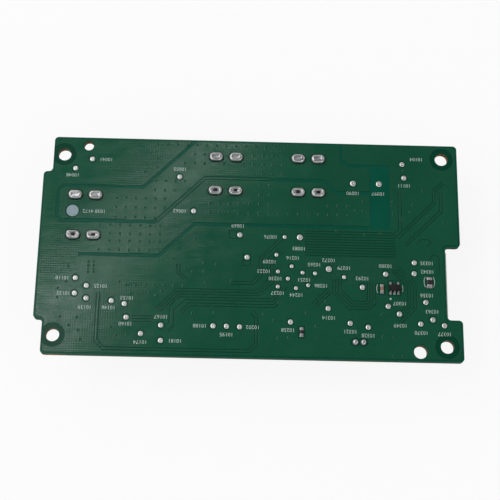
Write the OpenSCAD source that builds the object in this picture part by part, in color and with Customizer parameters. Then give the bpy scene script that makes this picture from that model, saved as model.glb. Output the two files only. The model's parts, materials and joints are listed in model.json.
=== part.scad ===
// Control board: a two-layer FR-4 circuit board, lying with its solder side up.
// X runs along the board, Y across it, Z is up. The origin is under the middle of the board,
// on the plane that the six tabs and the aluminium capacitors stand on.

/* [Board] */
// Length of the board
board_w = 105; // [100:0.5:110]
// Width of the board
board_h = 56.5; // [55.5:0.5:60]
// Thickness of the laminate
board_t = 1.6; // [1:0.1:2.4]
// Radius of the routed corners
corner_r = 1; // [0.6:0.1:1.6]
// How far the two left corners step in
step_in = 2.25; // [1.8:0.05:2.6]
// Length of the stepped edge at the upper left
upper_step = 9.4; // [8:0.1:11]
// Length of the stepped edge at the lower left
lower_step = 8.7; // [8:0.1:11]
// How far the right edge is notched
notch_in = 3.8; // [3:0.1:4]
// Width of the notch along the edge
notch_w = 18.8; // [15.6:0.2:20]
// Middle of the notch, measured from the middle of the board
notch_y = -8.4; // [-9:0.1:-8]

/* [Mounting holes] */
// Diameter of the four screw holes
screw_d = 3.3; // [3.2:0.1:3.6]
// Screw holes to the left edge
left_inset = 5; // [4.6:0.1:5.4]
// Distance between the two left screw holes
left_pitch = 47; // [46:0.5:48]
// Screw holes to the right edge
right_inset = 4; // [3.6:0.1:4.4]
// Distance between the two right screw holes
right_pitch = 49; // [48:0.5:50]
// Diameter kept free of copper for the screw heads
head_clear_d = 6; // [5.6:0.1:7]
// Diameter of the locating hole
locating_d = 2.5; // [2:0.1:3]
// Locating hole to the left edge
locating_left = 11; // [10.8:0.1:11.4]
// Locating hole to the top edge
locating_top = 2.25; // [2.1:0.05:2.5]
// Diameter of the spare hole
spare_d = 3.3; // [3:0.1:3.4]
// Spare hole to the right edge
spare_right = 10.6; // [10.2:0.1:11]
// Spare hole to the bottom edge
spare_bottom = 2.35; // [2.3:0.05:2.6]

/* [Copper] */
// Thickness of the copper on each face
copper_t = 0.07; // [0.035:0.005:0.1]
// Copper to the board's edge
edge_clear = 0.5; // [0.3:0.1:0.8]
// Width of the gap between the power nets
power_gap = 0.9; // [0.6:0.1:1]
// Width of the gap beside a signal trace
trace_gap = 0.25; // [0.2:0.01:0.3]
// Pitch of the signal traces
trace_pitch = 0.7; // [0.6:0.05:0.75]
// Gap round a pad
pad_clear = 0.35; // [0.2:0.05:0.45]
// Thickness of a tinned land
land_t = 0.1; // [0.1:0.01:0.15]

/* [Test pads] */
// Diameter of the large test pads
large_pad_d = 1.5; // [1.3:0.1:1.7]
// Diameter of the medium test pads
medium_pad_d = 1.3; // [1.1:0.1:1.4]
// Diameter of the small test pads
small_pad_d = 1.0; // [0.8:0.1:1.1]
// Height of the solder on a test pad
pad_crown = 0.25; // [0.15:0.05:0.3]
// Diameter of the flat reject mark
reject_d = 3; // [2.5:0.1:3.5]

/* [Blade terminals] */
// Width of the blade
tab_w = 6.35; // [6.3:0.05:6.6]
// Thickness of the blade
tab_t = 0.8; // [0.6:0.05:0.9]
// Pitch of the two legs
leg_pitch = 5.08; // [4.9:0.01:5.1]
// Width of a leg
leg_w = 1.2; // [1:0.05:1.25]
// How far a leg stands out of the solder side
leg_out = 0.7; // [0.5:0.1:1]
// Diameter of the detent hole
detent_d = 1.65; // [1.4:0.05:1.8]
// Height of the tabs and cans under the board
stand_h = 10.5; // [10:0.5:12]
// Clearance round a leg in its slot
leg_clear = 0.2; // [0.15:0.05:0.25]
// Length of a leg's oval solder joint
joint_l = 3.6; // [3.4:0.1:3.8]
// Width of a leg's oval solder joint
joint_w = 2.4; // [2.2:0.1:2.6]
// Height of a solder joint
joint_h = 1.1; // [1.05:0.05:1.4]

/* [Pin header] */
// Pitch of the two pins
pin_pitch = 2; // [1.9:0.05:2.2]
// Thickness of a square pin
pin_t = 0.5; // [0.4:0.05:0.55]
// Diameter of the pin holes
pin_hole_d = 0.9; // [0.8:0.05:1]
// Diameter of a pin's solder joint
pin_joint_d = 1.6; // [1.4:0.1:1.7]
// Length of the housing
header_l = 5.9; // [5.6:0.1:6.4]
// Width of the housing
header_w = 4.5; // [4.2:0.1:5]
// Height of the housing
header_h = 6; // [5:0.1:8]
// Wall of the housing
header_wall = 0.6; // [0.5:0.05:0.8]

/* [Capacitors] */
// Diameter of a can
can_d = 8; // [7:0.1:8.6]
// Height of a can's plastic base
can_base_h = 1.2; // [1:0.1:1.6]
// Width of a capacitor's leads
can_lead_w = 0.9; // [0.7:0.1:1.2]

/* [Controller] */
// Side of the body
controller_w = 10; // [9:0.5:10]
// Height of the body
controller_h = 1.4; // [1:0.1:1.8]
// Pitch of the leads
controller_pitch = 0.5; // [0.45:0.01:0.5]
// Leads on each side
controller_n = 16; // [12:1:16]

/* [Power stage] */
// Width of a power transistor
power_w = 6.6; // [6:0.1:7]
// Length of a power transistor's body
power_l = 6.1; // [5.5:0.1:6.5]
// Height of a power transistor
power_h = 2.3; // [2:0.1:2.6]
// Distance between the power transistors
power_pitch = 11; // [9:0.5:11]
// Side of the power inductor
coil_w = 7.3; // [6.5:0.1:8]
// Height of the power inductor
coil_h = 4; // [3:0.1:5]

/* [Signal connector] */
// Number of ways
ways = 10; // [8:1:10]
// Pitch of the ways
way_pitch = 1.25; // [1.2:0.05:1.25]
// Depth of the housing
plug_depth = 5; // [4.6:0.1:5.4]
// Height of the housing
plug_h = 3.4; // [3.2:0.1:4]
// Wall of the housing
plug_wall = 0.6; // [0.5:0.05:0.7]
// Housing to the notch
plug_inset = 0.4; // [0.2:0.1:0.8]

/* [Hidden] */
$fn = 48;
// A hair beyond a face, for cuts only
cut = 1;

// Levels
solder_z = stand_h + board_t;

// Edges of the board
left_x = -board_w / 2;
right_x = board_w / 2;
top_y = board_h / 2;
bottom_y = -board_h / 2;
notch_x = right_x - notch_in;
notch_top = notch_y + notch_w / 2;
notch_bottom = notch_y - notch_w / 2;

// Holes
left_holes = [for (s = [-1, 1]) [left_x + left_inset, s * left_pitch / 2]];
right_holes = [for (s = [-1, 1]) [right_x - right_inset, s * right_pitch / 2]];
screw_holes = concat(left_holes, right_holes);
locating_hole = [left_x + locating_left, top_y - locating_top];
spare_hole = [right_x - spare_right, bottom_y + spare_bottom];

// Blade terminals: where each stands, and whether solder covers its leg ends
tab_places = [
    [-41.6, 12.6, true], [-41.6, 2, false],
    [-6.5, 23.7, true], [-6.5, 14.6, false],
    [14.4, 23.7, true], [14.4, 14.6, false]
];
// Taper of the blade's tip, across and along it, and the bevel of its faces there
tab_tip = [1, 1.3];
tab_bevel = [0.25, 1];
// Radius of the vent between the legs, and the detent hole's distance from the tip
vent_r = 0.9;
detent_from_tip = 4.6;
leg_slot = [leg_w + leg_clear * 2, tab_t + leg_clear * 2];
leg_taper = 0.25;
// How far a leg runs up into the blade's face
leg_root = 0.5;
// How much of a solder crown is cut flat
joint_flat = 0.15;

// Pin header: how far a pin stands out of the board and how deep it ends in the housing
pin_out = 0.5;
pin_recess = 1;
// How much narrower a pin is at its end, each side
pin_point = pin_t / 4;
pin_joint_h = 0.8;
// The housing's floor, and the widths of its key slot and of its end notches
header_floor = 1.6;
header_key = 2;
header_notch = 1.4;

// Test pads
large_pads = [[12.4, 2.7], [25.8, 17.4], [32.4, 17.4], [19.6, -5.4]];
medium_pads = [
    [-40.4, 22.4], [-44.5, 19.8], [-18.1, 18.1], [-14.3, 9], [-2.6, 3], [38.4, 22.9],
    [38.8, 19.2], [-42.8, -9.1], [-40, -11], [-42.8, -13], [-39.9, -14.2], [-33.7, -14.7],
    [-30.5, -15.4], [-29.9, -18.8], [-21.4, -20.6], [-26.2, -22.8], [-21.3, -24.4],
    [-8.7, -20.5], [-5.4, -20.5], [-2.2, -20.6], [-0.7, -2.8], [10.2, -19.1], [27.9, -9.9],
    [33.7, -6.4], [34.2, -14.6], [19.4, -15.5], [24.8, -19.1], [29.2, -20], [40.9, -3.3],
    [40.8, -6.1], [36.9, -16.5], [43.5, -13.4], [45.1, -17.8], [42.1, -18.9], [47.9, -19.2]
];
small_pads = [
    [8.6, 2.7], [6.6, -2], [10.4, -4.9], [7, -6.3], [9.5, -8.1], [7, -10.2], [11.5, -10.5],
    [13.1, -6.5], [16.2, -6.6], [23.4, -7.4], [14.5, -9.7]
];
reject_at = [-44.6, 8.4];

// Copper: pitch and width of the twin gaps under the terminals, the bare field between the
// nets, and the small islands beside two of the test pads, each as corner and size
twin_pitch = 0.75;
twin_gap = 0.3;
bare_field = [[30, 5.2], [5.2, 17.3]];
islands = [[[-5.3, 1.8], [3.4, 2.4]], [[-1.75, -5.2], [2.1, 3.2]]];

// Chip sizes: length, width, height and length of a metal end
chip_0603 = [1.6, 0.8, 0.5, 0.35];
chip_0805 = [2, 1.25, 0.6, 0.4];
// A land past the chip's end and past its sides, and the ends over the body
chip_land = [0.4, 0.1];
chip_cap = 0.04;
// Heights of a solder fillet's outer foot and of its top, as parts of the chip's height
chip_fillet = [1 / 3, 0.8];

// Parts on the solder side: place and turn
driver_at = [35.8, -10];
resistor_0805_at = [44.5, -8.35, 90];
capacitor_0603_at = [32.7, -10.2, 90];
resistor_0603_at = [12.9, -21.6, 90];

// Gull-wing packages: body length, width and height; span over the feet; pitch of the
// leads; width, thickness and foot length of a lead
stand_off = 0.05;
package_z = land_t + stand_off;
mould_draft = 0.12;
// Where the leads leave a moulding, as a part of its height, and where a lead's knee is, as a
// part of the way to its heel
band_part = 0.45;
knee_part = 0.45;
// Radius of the dimple by the first lead; its middle and depth, in radii
so8_dimple_r = 0.3;
sot_dimple_r = 0.2;
controller_dimple_r = 0.5;
dimple_in = 2.2;
dimple_depth = 0.25;
so8_body = [4.9, 3.9, 1.5];
so8_span = 6;
so8_pitch = 1.27;
so8_lead = [0.42, 0.2, 0.6];
sot_body = [2.9, 1.6, 1.1];
sot_span = 2.8;
sot_pitch = 0.95;
sot_lead = [0.4, 0.15, 0.32];
controller_span = controller_w + 2;
controller_lead = [0.22, 0.16, 0.55];
// Lead places, in pitches along X and as the side along Y
so8_leads = [for (x = [-1.5 : 1 : 1.5], y = [-1, 1]) [x, y]];
sot5_leads = [[-1, -1], [0, -1], [1, -1], [-1, 1], [1, 1]];
sot3_leads = [[-1, -1], [1, -1], [0, 1]];

// Power transistor: its metal plate and how far that stands out; width, thickness and foot
// length of a lead, how far apart the leads are, how far they reach and where they leave it
power_plate = [power_w - 1.2, power_l - 0.4, 0.5];
power_plate_out = 1.1;
power_plate_y = power_l / 2 + power_plate_out - power_plate[1] / 2;
power_lead = [0.75, 0.5, 1.5];
power_lead_x = 2.3;
power_reach = 2.9;
power_stub = 0.8;
power_exit_z = 1;
power_foot_y = -power_l / 2 - power_reach + power_lead[2] / 2;

// Aluminium capacitor: base, posts, leads and their lands
can_base_w = can_d + 0.3;
can_post_h = 0.9;
can_gap = 0.05;
can_lead_t = 0.2;
can_lead_in = 1.3;
can_lead_out = can_base_w / 2 + 0.6;
// Rolled groove: its height over the base, its radius, and how far out its middle lies
can_groove = [3, 0.55, 0.18];
can_edge_r = 0.6;
// Crop of the base's two marked corners, as a part of its width
can_crop = 0.16;

// Inductor: corners; and its ends, inwards, across, thick and up the side
coil_corner_r = 0.9;
coil_end = [1.9, 3, 0.2, 1.6];
// Shunt, crystal and clamp diode
shunt_size = [6.3, 3.2, 0.4];
shunt_end = 1.2;
shunt_lift = 0.3;
crystal_size = [5, 3.2, 0.6];
lid_size = [4.4, 2.7, 0.45];
lid_corner_r = 0.4;
crystal_land = [1, 2.2];
crystal_end_x = 1.9;
clamp_body = [4.4, 3.6, 2.2];
clamp_lead = [2, 0.2, 0.9];
clamp_reach = 0.4;

// Signal connector
plug_mid_x = notch_x - plug_inset - plug_depth / 2;
plug_side = 1.2;
plug_l = ways * way_pitch + 2 * plug_side;
plug_back = 1.1;
plug_key = [2, 1.4];
// A contact's width, thickness and how far it passes the middle of the housing; its reach
contact = [0.35, 0.25, 1.2];
contact_reach = 1.4;
// A solder bracket's width, thickness, foot and height, and where it stands
bracket = [1.6, 0.2, 1.2, 2.2];
bracket_x = 0.8;

// Parts on the component side. Along the bottom edge they keep their distance from it: two
// cans, the regulator and the inductor from the left edge, the header from the right edge and
// the third can from the connector's contacts. A row of capacitor chips goes with the inductor.
can_to_contacts = 1.75;
header_at = [right_x - 25.5, bottom_y + 4.45];
can_places = [
    [left_x + 15, bottom_y + 8.75], [left_x + 26, bottom_y + 8.75],
    [plug_mid_x - plug_depth / 2 - contact_reach - can_to_contacts - can_base_w / 2,
     bottom_y + 10.25]
];
regulator_at = [left_x + 34.9, bottom_y + 11.65];
coil_at = [left_x + 43.9, bottom_y + 11.05];
controller_at = [10.5, -6.5];
crystal_at = [9, -17.4];
shunt_at = [-24.5, 21];
clamp_at = [26, 20];
gate_driver_places = [[18.6, 7.6], [27.4, 7.6]];
power_n = 4;
power_y = 6.2;
power_x = -28.2;
power_places = [for (i = [0 : power_n - 1]) [power_x + i * power_pitch, power_y]];
small_transistor_at = [24.4, -2.2];
small_transistor_step = [0, -4.6];
small_transistor_places = [for (i = [0 : 2]) small_transistor_at + i * small_transistor_step];
// Rows of chips: the first one's place, the step to the next, their turn and their number
resistor_rows = [
    [[1.4, -12.2], [0, 2], 0, 6], [[29.2, -12.2], [0, 2], 0, 6],
    [[14.6, 1.6], [2.2, 0], 90, 5], [[-33.4, 12], [0, 2], 0, 4]
];
capacitor_rows = [
    [[19.6, -11.2], [0, 2], 0, 5], [[15.4, -17.6], [2, 0], 90, 4],
    [[35.2, 8], [0, 2.2], 0, 4], [coil_at + [-6.4, 6.8], [2.4, 0], 90, 3]
];
function row_chips(row) = [for (i = [0 : row[3] - 1]) concat(row[0] + i * row[1], row[2])];
resistor_places = [for (row = resistor_rows) each row_chips(row)];
capacitor_places = [for (row = capacitor_rows) each row_chips(row)];

// ---- Paths -----------------------------------------------------------------------------

function unit(v) = v / norm(v);
function left_of(v) = [-v[1], v[0]];
function reversed(p) = [for (i = [len(p) - 1 : -1 : 0]) p[i]];

// Direction of a path as it reaches point i, and as it leaves it
function heading_in(p, i) = i > 0 ? unit(p[i] - p[i - 1]) : unit(p[1] - p[0]);
function heading_out(p, i) = i < len(p) - 1 ? unit(p[i + 1] - p[i]) : heading_in(p, i);

// A path moved sideways by d, to its left, with mitred corners
function beside(p, d) = [
    for (i = [0 : len(p) - 1])
        let (m = left_of(heading_in(p, i)) + left_of(heading_out(p, i)))
            p[i] + m * d * 2 / (m * m)
];

// The closed outline of a strip of width w along a path
function ribbon(p, w) = concat(beside(p, w / 2), reversed(beside(p, -w / 2)));

// ---- Plane shapes ----------------------------------------------------------------------

// The corner between a square and its inscribed arc: added to an inner corner it is a
// fillet, taken from an outer corner it rounds it. sx and sy point into the square.
module corner_web(at, sx, sy, r) {
    difference() {
        translate([min(at[0], at[0] + sx * r), min(at[1], at[1] + sy * r)]) square(r);
        translate([at[0] + sx * r, at[1] + sy * r]) circle(r);
    }
}

// A slot with round ends along X, l long and w wide
module slot_2d(l, w) {
    square([l - w, w], center = true);
    for (s = [-1, 1]) translate([s * (l - w) / 2, 0]) circle(w / 2);
}

module pad_2d(size, grow) {
    square([size[0] + grow * 2, size[1] + grow * 2], center = true);
}

// A set of n parallel strips, each beside the last, to the left of the path
module strips(p, n, pitch = trace_pitch, w = trace_gap) {
    for (k = [0 : n - 1]) polygon(ribbon(beside(p, k * pitch), w));
}

// ---- Places ----------------------------------------------------------------------------

module on_solder_side(at, turn = 0) {
    translate([at[0], at[1], solder_z]) rotate([0, 0, turn]) children();
}

// Turned over: a part drawn with +Z away from the board hangs under it
module on_component_side(at, turn = 0) {
    translate([at[0], at[1], stand_h]) rotate([180, 0, turn]) children();
}

// ---- Board -----------------------------------------------------------------------------

// The outline, moved in by the given distance
module outline_2d(inset = 0) {
    l = left_x + inset;
    r = right_x - inset;
    t = top_y - inset;
    b = bottom_y + inset;
    step_x = left_x + step_in + inset;
    step_top = top_y - upper_step - inset;
    step_bottom = bottom_y + lower_step + inset;
    nx = notch_x - inset;
    nt = notch_top + inset;
    nb = notch_bottom - inset;
    difference() {
        union() {
            difference() {
                translate([l, b]) square([r - l, t - b]);
                translate([l - cut, step_top]) square([step_x - l + cut, t - step_top + cut]);
                translate([l - cut, b - cut]) square([step_x - l + cut, step_bottom - b + cut]);
                translate([nx, nb]) square([r - nx + cut, nt - nb]);
            }
            corner_web([step_x, step_top], -1, 1, corner_r);
            corner_web([step_x, step_bottom], -1, -1, corner_r);
            corner_web([nx, nt], 1, -1, corner_r);
            corner_web([nx, nb], 1, 1, corner_r);
        }
        corner_web([step_x, t], 1, -1, corner_r);
        corner_web([step_x, b], 1, 1, corner_r);
        corner_web([l, step_top], 1, -1, corner_r);
        corner_web([l, step_bottom], 1, 1, corner_r);
        corner_web([r, t], -1, -1, corner_r);
        corner_web([r, b], -1, 1, corner_r);
        corner_web([r, nt], -1, 1, corner_r);
        corner_web([r, nb], -1, -1, corner_r);
    }
}

module board() {
    color("darkgreen")
    translate([0, 0, stand_h])
    difference() {
        linear_extrude(board_t) outline_2d();
        translate([0, 0, -cut]) {
            for (at = screw_holes) translate(at) cylinder(h = board_t + 2 * cut, d = screw_d);
            translate(locating_hole) cylinder(h = board_t + 2 * cut, d = locating_d);
            translate(spare_hole) cylinder(h = board_t + 2 * cut, d = spare_d);
            for (at = tab_places, s = [-1, 1])
                translate([at[0] + s * leg_pitch / 2, at[1]])
                    linear_extrude(board_t + 2 * cut) slot_2d(leg_slot[0], leg_slot[1]);
            for (s = [-1, 1])
                translate([header_at[0] + s * pin_pitch / 2, header_at[1]])
                    cylinder(h = board_t + 2 * cut, d = pin_hole_d);
        }
    }
}

// ---- Copper ----------------------------------------------------------------------------

// Copper over the whole face, kept clear of the edge and the holes
module flood_2d() {
    difference() {
        outline_2d(edge_clear);
        for (at = screw_holes) translate(at) circle(d = head_clear_d);
        translate(locating_hole) circle(d = locating_d + edge_clear);
        translate(spare_hole) circle(d = spare_d + edge_clear);
        for (at = tab_places, s = [-1, 1])
            translate([at[0] + s * leg_pitch / 2, at[1]])
                slot_2d(joint_l + pad_clear, joint_w + pad_clear);
        for (s = [-1, 1])
            translate([header_at[0] + s * pin_pitch / 2, header_at[1]])
                circle(d = pin_joint_d + pad_clear * 2);
    }
}

// Gaps that part the power nets; both faces share them, joined through by rows of vias
module power_gaps_2d() {
    // Round the left terminals, up to the top edge and back along the middle
    polygon(ribbon([[-14, top_y], [-27.2, 15.1], [-47.2, 15.1], [-48.4, 13.9],
                    [-48.4, 7.1], [-47.2, 5.9], [-23.6, 5.9]], power_gap));
    strips([[-23.9, 5.9], [-23.2, 5.9], [-11.5, 17.6], [5, 17.6]], 2, twin_pitch, twin_gap);
    polygon(ribbon([[4.6, 17.9], [18.4, 17.9], [21.4, 14.9], [30, 14.9]], power_gap));
    // Under the lower terminals
    polygon(ribbon([[-42.5, -2.9], [-22.5, -2.9], [-14, 5.6], [31, 5.6]], power_gap));
    // Top right, and the bare field that it leads to
    polygon(ribbon([[22.9, top_y], [22.9, 23.8], [24.6, 22.1], [31, 22.1]], power_gap));
    translate(bare_field[0]) square(bare_field[1]);
}

// Gaps beside the signal traces of the solder side
module signal_gaps_2d() {
    // Right-hand bus and the two pairs that climb from it
    strips([[36.4, -2.6], [13.6, -2.6]], 10);
    strips([[35.4, 3.6], [37.2, 5.4], [37.2, 14.9], [35.9, 16.2]], 1);
    strips([[36.4, 3.4], [38, 5], [38, 15.3]], 1);
    strips([[36.9, 2.7], [46.65, 12.45], [46.65, 15.6], [48.9, 17.85]], 2);
    strips([[39, 0.9], [48.4, 10.3], [48.4, 15.8]], 2);
    strips([[41.6, 1.6], [42.8, 2.8], [44.6, 2.8], [45.3, 2.1], [44.2, 1]], 1);
    strips([[45, -2.6], [45, -1.9], [45.7, -1.2], [46.5, -1.2], [47.1, -1.8], [47.1, -6.2]], 1);
    // From the controller down and left
    strips([[-4.6, -9.2], [0.6, -9.2], [2.4, -7.4], [2.4, -2.8], [7.2, 2]], 1);
    strips([[-4.6, -9.9], [0.9, -9.9], [3.1, -7.7], [3.1, -3.1], [7.9, 1.7]], 1);
    strips([[7.2, -0.4], [4.5, -3.1], [4.5, -8.6], [1.8, -11.3], [-17.8, -11.3],
            [-22.8, -16.3]], 3);
    strips([[-20.5, -21], [-19.4, -19.9], [-19.4, -15.7], [-17.1, -13.4], [5.4, -13.4],
            [8.2, -10.6]], 1);
    strips([[-19.6, -22.1], [-18.3, -20.8], [-18.3, -16.7], [-15.7, -14.1], [5.7, -14.1],
            [9.5, -10.3]], 1);
    strips([[-16.4, -17.6], [-14.4, -15.6], [6.3, -15.6], [8, -13.9]], 2);
    strips([[-17.9, -4.9], [-17.9, -7.1], [-16.1, -8.9]], 2);
    // Nested round the lower right of the controller
    strips([[19.4, -10.4], [15.6, -14.2]], 3);
    strips([[20.6, -8], [20.6, -11.6], [24.6, -15.6], [29.6, -15.6], [31.2, -14],
            [31.2, -9]], 4);
    // Round the small driver
    strips([[37.4, -18.8], [41.2, -15], [41.2, -8.6], [36.8, -4.2]], 4);
    // Lower left and along the bottom edge
    strips([[0.5, -17.2], [1.5, -18.2], [1.5, -24.8], [0, -26.3], [-34.9, -26.3],
            [-36.6, -24.6], [-36.6, -12.6]], 1);
    strips([[1.2, -16.5], [2.2, -17.5], [2.2, -25.2], [0.4, -27], [-35.2, -27],
            [-37.4, -24.8], [-37.4, -12.9]], 1);
    strips([[-28.4, -19.8], [-23.4, -19.8]], 3);
    // Islands beside two of the test pads
    for (island = islands)
        translate(island[0]) difference() {
            square(island[1]);
            translate([trace_gap, trace_gap])
                square([island[1][0] - 2 * trace_gap, island[1][1] - 2 * trace_gap]);
        }
}

module test_pad_gaps_2d() {
    for (at = large_pads) translate(at) circle(d = large_pad_d + pad_clear * 2);
    for (at = medium_pads) translate(at) circle(d = medium_pad_d + pad_clear * 2);
    for (at = small_pads) translate(at) circle(d = small_pad_d + pad_clear * 2);
    translate(reject_at) circle(d = reject_d + pad_clear * 2);
}

module solder_side_copper() {
    color("seagreen")
    translate([0, 0, solder_z])
    linear_extrude(copper_t)
    difference() {
        flood_2d();
        power_gaps_2d();
        signal_gaps_2d();
        test_pad_gaps_2d();
        solder_side_lands_2d(pad_clear);
    }
}

module component_side_copper() {
    color("seagreen")
    translate([0, 0, stand_h - copper_t])
    linear_extrude(copper_t)
    difference() {
        flood_2d();
        power_gaps_2d();
        component_side_lands_2d(pad_clear);
    }
}

// ---- Lands -----------------------------------------------------------------------------

// Shapes of lands, each made bigger all round by grow for the gap in the copper round it

module chip_lands_2d(size, grow) {
    for (s = [-1, 1])
        translate([s * (size[0] + chip_land[0] - size[3]) / 2, 0])
            pad_2d([size[3] + chip_land[0], size[1] + chip_land[1]], grow);
}

// Lands under the feet of a gull-wing package, whose feet point along Y
module row_lands_2d(places, span, pitch, lead, grow) {
    for (at = places)
        translate([at[0] * pitch, at[1] * (span - lead[2]) / 2])
            pad_2d([lead[0] + chip_land[1], lead[2] + chip_land[0]], grow);
}

module placed_2d(at) {
    translate([at[0], at[1]]) rotate(at[2]) children();
}

module solder_side_lands_2d(grow) {
    translate(driver_at) row_lands_2d(sot5_leads, sot_span, sot_pitch, sot_lead, grow);
    placed_2d(resistor_0805_at) chip_lands_2d(chip_0805, grow);
    placed_2d(capacitor_0603_at) chip_lands_2d(chip_0603, grow);
    placed_2d(resistor_0603_at) chip_lands_2d(chip_0603, grow);
}

module solder_side_lands() {
    color("silver")
    translate([0, 0, solder_z]) linear_extrude(land_t) solder_side_lands_2d(0);
}

module controller_lands_2d(grow) {
    for (turn = [0, 90]) rotate(turn)
        row_lands_2d([for (k = [0 : controller_n - 1], s = [-1, 1]) [row_place(k), s]],
                     controller_span, controller_pitch, controller_lead, grow);
}

// Places of the controller's leads along one side, in pitches from its middle
function row_place(k) = k - (controller_n - 1) / 2;

module power_lands_2d(grow) {
    translate([0, power_plate_y])
        pad_2d([power_plate[0] + chip_land[0], power_plate[1]], grow);
    for (s = [-1, 1]) translate([s * power_lead_x, power_foot_y])
        pad_2d([power_lead[0] + chip_land[0], power_lead[2] + chip_land[0]], grow);
}

// Everything under the component side but the through-hole lands; drawn as seen from above,
// so parts that aren't alike both ways are mirrored as they are when turned over
module component_side_lands_2d(grow) {
    for (at = concat(resistor_places, capacitor_places))
        placed_2d(at) chip_lands_2d(chip_0603, grow);
    translate(controller_at) controller_lands_2d(grow);
    for (at = power_places) translate(at) mirror([0, 1]) power_lands_2d(grow);
    for (at = concat([regulator_at], gate_driver_places))
        translate(at) row_lands_2d(so8_leads, so8_span, so8_pitch, so8_lead, grow);
    for (at = small_transistor_places)
        translate(at) mirror([0, 1])
            row_lands_2d(sot3_leads, sot_span, sot_pitch, sot_lead, grow);
    for (s = [-1, 1]) {
        for (at = can_places)
            translate([at[0] + s * (can_lead_in + can_lead_out) / 2, at[1]])
                pad_2d([can_lead_out - can_lead_in + chip_land[0],
                        can_lead_w + chip_land[0]], grow);
        translate(coil_at + [s * (coil_w - coil_end[0]) / 2, 0])
            pad_2d([coil_end[0] + 2 * chip_land[0], coil_end[1] + chip_land[0]], grow);
        translate(crystal_at + [s * crystal_end_x, 0])
            pad_2d(crystal_land, grow);
        translate(shunt_at + [s * (shunt_size[0] - shunt_end) / 2, 0])
            pad_2d([shunt_end + chip_land[0], shunt_size[1] + chip_land[1]], grow);
        translate(clamp_at + [s * (clamp_body[0] / 2 - clamp_lead[2] / 4), 0])
            pad_2d([clamp_lead[2] * 2, clamp_lead[0] + chip_land[0]], grow);
        translate([plug_mid_x + bracket_x, notch_y + s * (plug_l + bracket[2]) / 2])
            pad_2d([bracket[0] + chip_land[0], bracket[2]], grow);
    }
    for (k = [0 : ways - 1])
        translate([plug_mid_x - (plug_depth + contact_reach) / 2, way_y(k)])
            pad_2d([contact_reach, contact[0] + chip_land[1]], grow);
}

module leg_lands_2d() {
    for (at = tab_places, s = [-1, 1])
        translate([at[0] + s * leg_pitch / 2, at[1]])
            difference() {
                slot_2d(joint_l, joint_w);
                slot_2d(leg_slot[0], leg_slot[1]);
            }
    for (s = [-1, 1])
        translate([header_at[0] + s * pin_pitch / 2, header_at[1]])
            difference() {
                circle(d = pin_joint_d);
                circle(d = pin_hole_d);
            }
}

module component_side_lands() {
    color("silver")
    translate([0, 0, stand_h - land_t]) linear_extrude(land_t) {
        component_side_lands_2d(0);
        leg_lands_2d();
    }
}

// ---- Test pads -------------------------------------------------------------------------

// Half section of a crown: a foot of the given height under an arc that rises to top,
// and is cut flat at the height flat
module crown_half_2d(radius, foot, top, flat) {
    rise = top - foot;
    arc_r = (radius * radius + rise * rise) / (2 * rise);
    intersection() {
        union() {
            square([radius, foot]);
            translate([0, top - arc_r]) circle(arc_r);
        }
        square([radius, flat]);
    }
}

module test_pad(d) {
    rotate_extrude() crown_half_2d(d / 2, land_t, pad_crown, pad_crown);
}

module test_pads() {
    color("silver") {
        for (at = large_pads) on_solder_side(at) test_pad(large_pad_d);
        for (at = medium_pads) on_solder_side(at) test_pad(medium_pad_d);
        for (at = small_pads) on_solder_side(at) test_pad(small_pad_d);
    }
}

module reject_mark() {
    color("lightsteelblue") on_solder_side(reject_at) cylinder(h = land_t, d = reject_d);
}

// ---- Blade terminals -------------------------------------------------------------------

// A leg seen from the front: Y is up and 0 is the solder side of the board
module leg_2d(root) {
    half = leg_w / 2;
    polygon([[-half, root], [half, root], [half, leg_out - leg_taper],
             [half - leg_taper, leg_out], [-half + leg_taper, leg_out],
             [-half, leg_out - leg_taper]]);
}

// The tab seen from the front: Y is the height under the board
module tab_front_2d() {
    half = tab_w / 2;
    difference() {
        polygon([[-half, land_t], [half, land_t], [half, stand_h - tab_tip[1]],
                 [half - tab_tip[0], stand_h], [-half + tab_tip[0], stand_h],
                 [-half, stand_h - tab_tip[1]]]);
        translate([0, land_t]) circle(vent_r);
    }
    for (s = [-1, 1])
        translate([s * leg_pitch / 2, -board_t]) mirror([0, 1])
            leg_2d(-board_t - land_t - leg_root);
}

// The tab seen from the side: full thickness, bevelled at the tip
module tab_side_2d() {
    half = tab_t / 2;
    root = -board_t - leg_out - cut;
    polygon([[-half, root], [half, root], [half, stand_h - tab_bevel[1]],
             [half - tab_bevel[0], stand_h], [-half + tab_bevel[0], stand_h],
             [-half, stand_h - tab_bevel[1]]]);
}

module tab(i) {
    color("gainsboro")
    on_component_side(tab_places[i])
    difference() {
        intersection() {
            rotate([90, 0, 0]) linear_extrude(tab_t + cut, center = true) tab_front_2d();
            rotate([90, 0, 90]) linear_extrude(tab_w + cut, center = true) tab_side_2d();
        }
        translate([0, 0, stand_h - detent_from_tip]) rotate([90, 0, 0])
            cylinder(h = tab_t + 2 * cut, d = detent_d, center = true);
    }
}

// Solder round one leg: an oval crown on the land, and the filling of the slot under it.
// Where it is filled it closes over the leg's end, and otherwise the end shows in a well.
module tab_joint(filled) {
    mid = joint_l - joint_w;
    difference() {
        union() {
            for (s = [-1, 1])
                translate([s * mid / 2, 0, 0]) rotate([0, 0, -s * 90])
                    rotate_extrude(angle = 180)
                        crown_half_2d(joint_w / 2, land_t, joint_h + joint_flat, joint_h);
            rotate([90, 0, 90]) linear_extrude(mid, center = true)
                for (m = [0, 1]) mirror([m, 0])
                    crown_half_2d(joint_w / 2, land_t, joint_h + joint_flat, joint_h);
            translate([0, 0, -board_t]) linear_extrude(board_t)
                slot_2d(leg_slot[0], leg_slot[1]);
        }
        if (filled)
            rotate([90, 0, 0]) linear_extrude(tab_t, center = true) leg_2d(-board_t - cut);
        else
            translate([-leg_w / 2, -tab_t / 2, -board_t - cut])
                cube([leg_w, tab_t, board_t + joint_h + 2 * cut]);
    }
}

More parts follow.
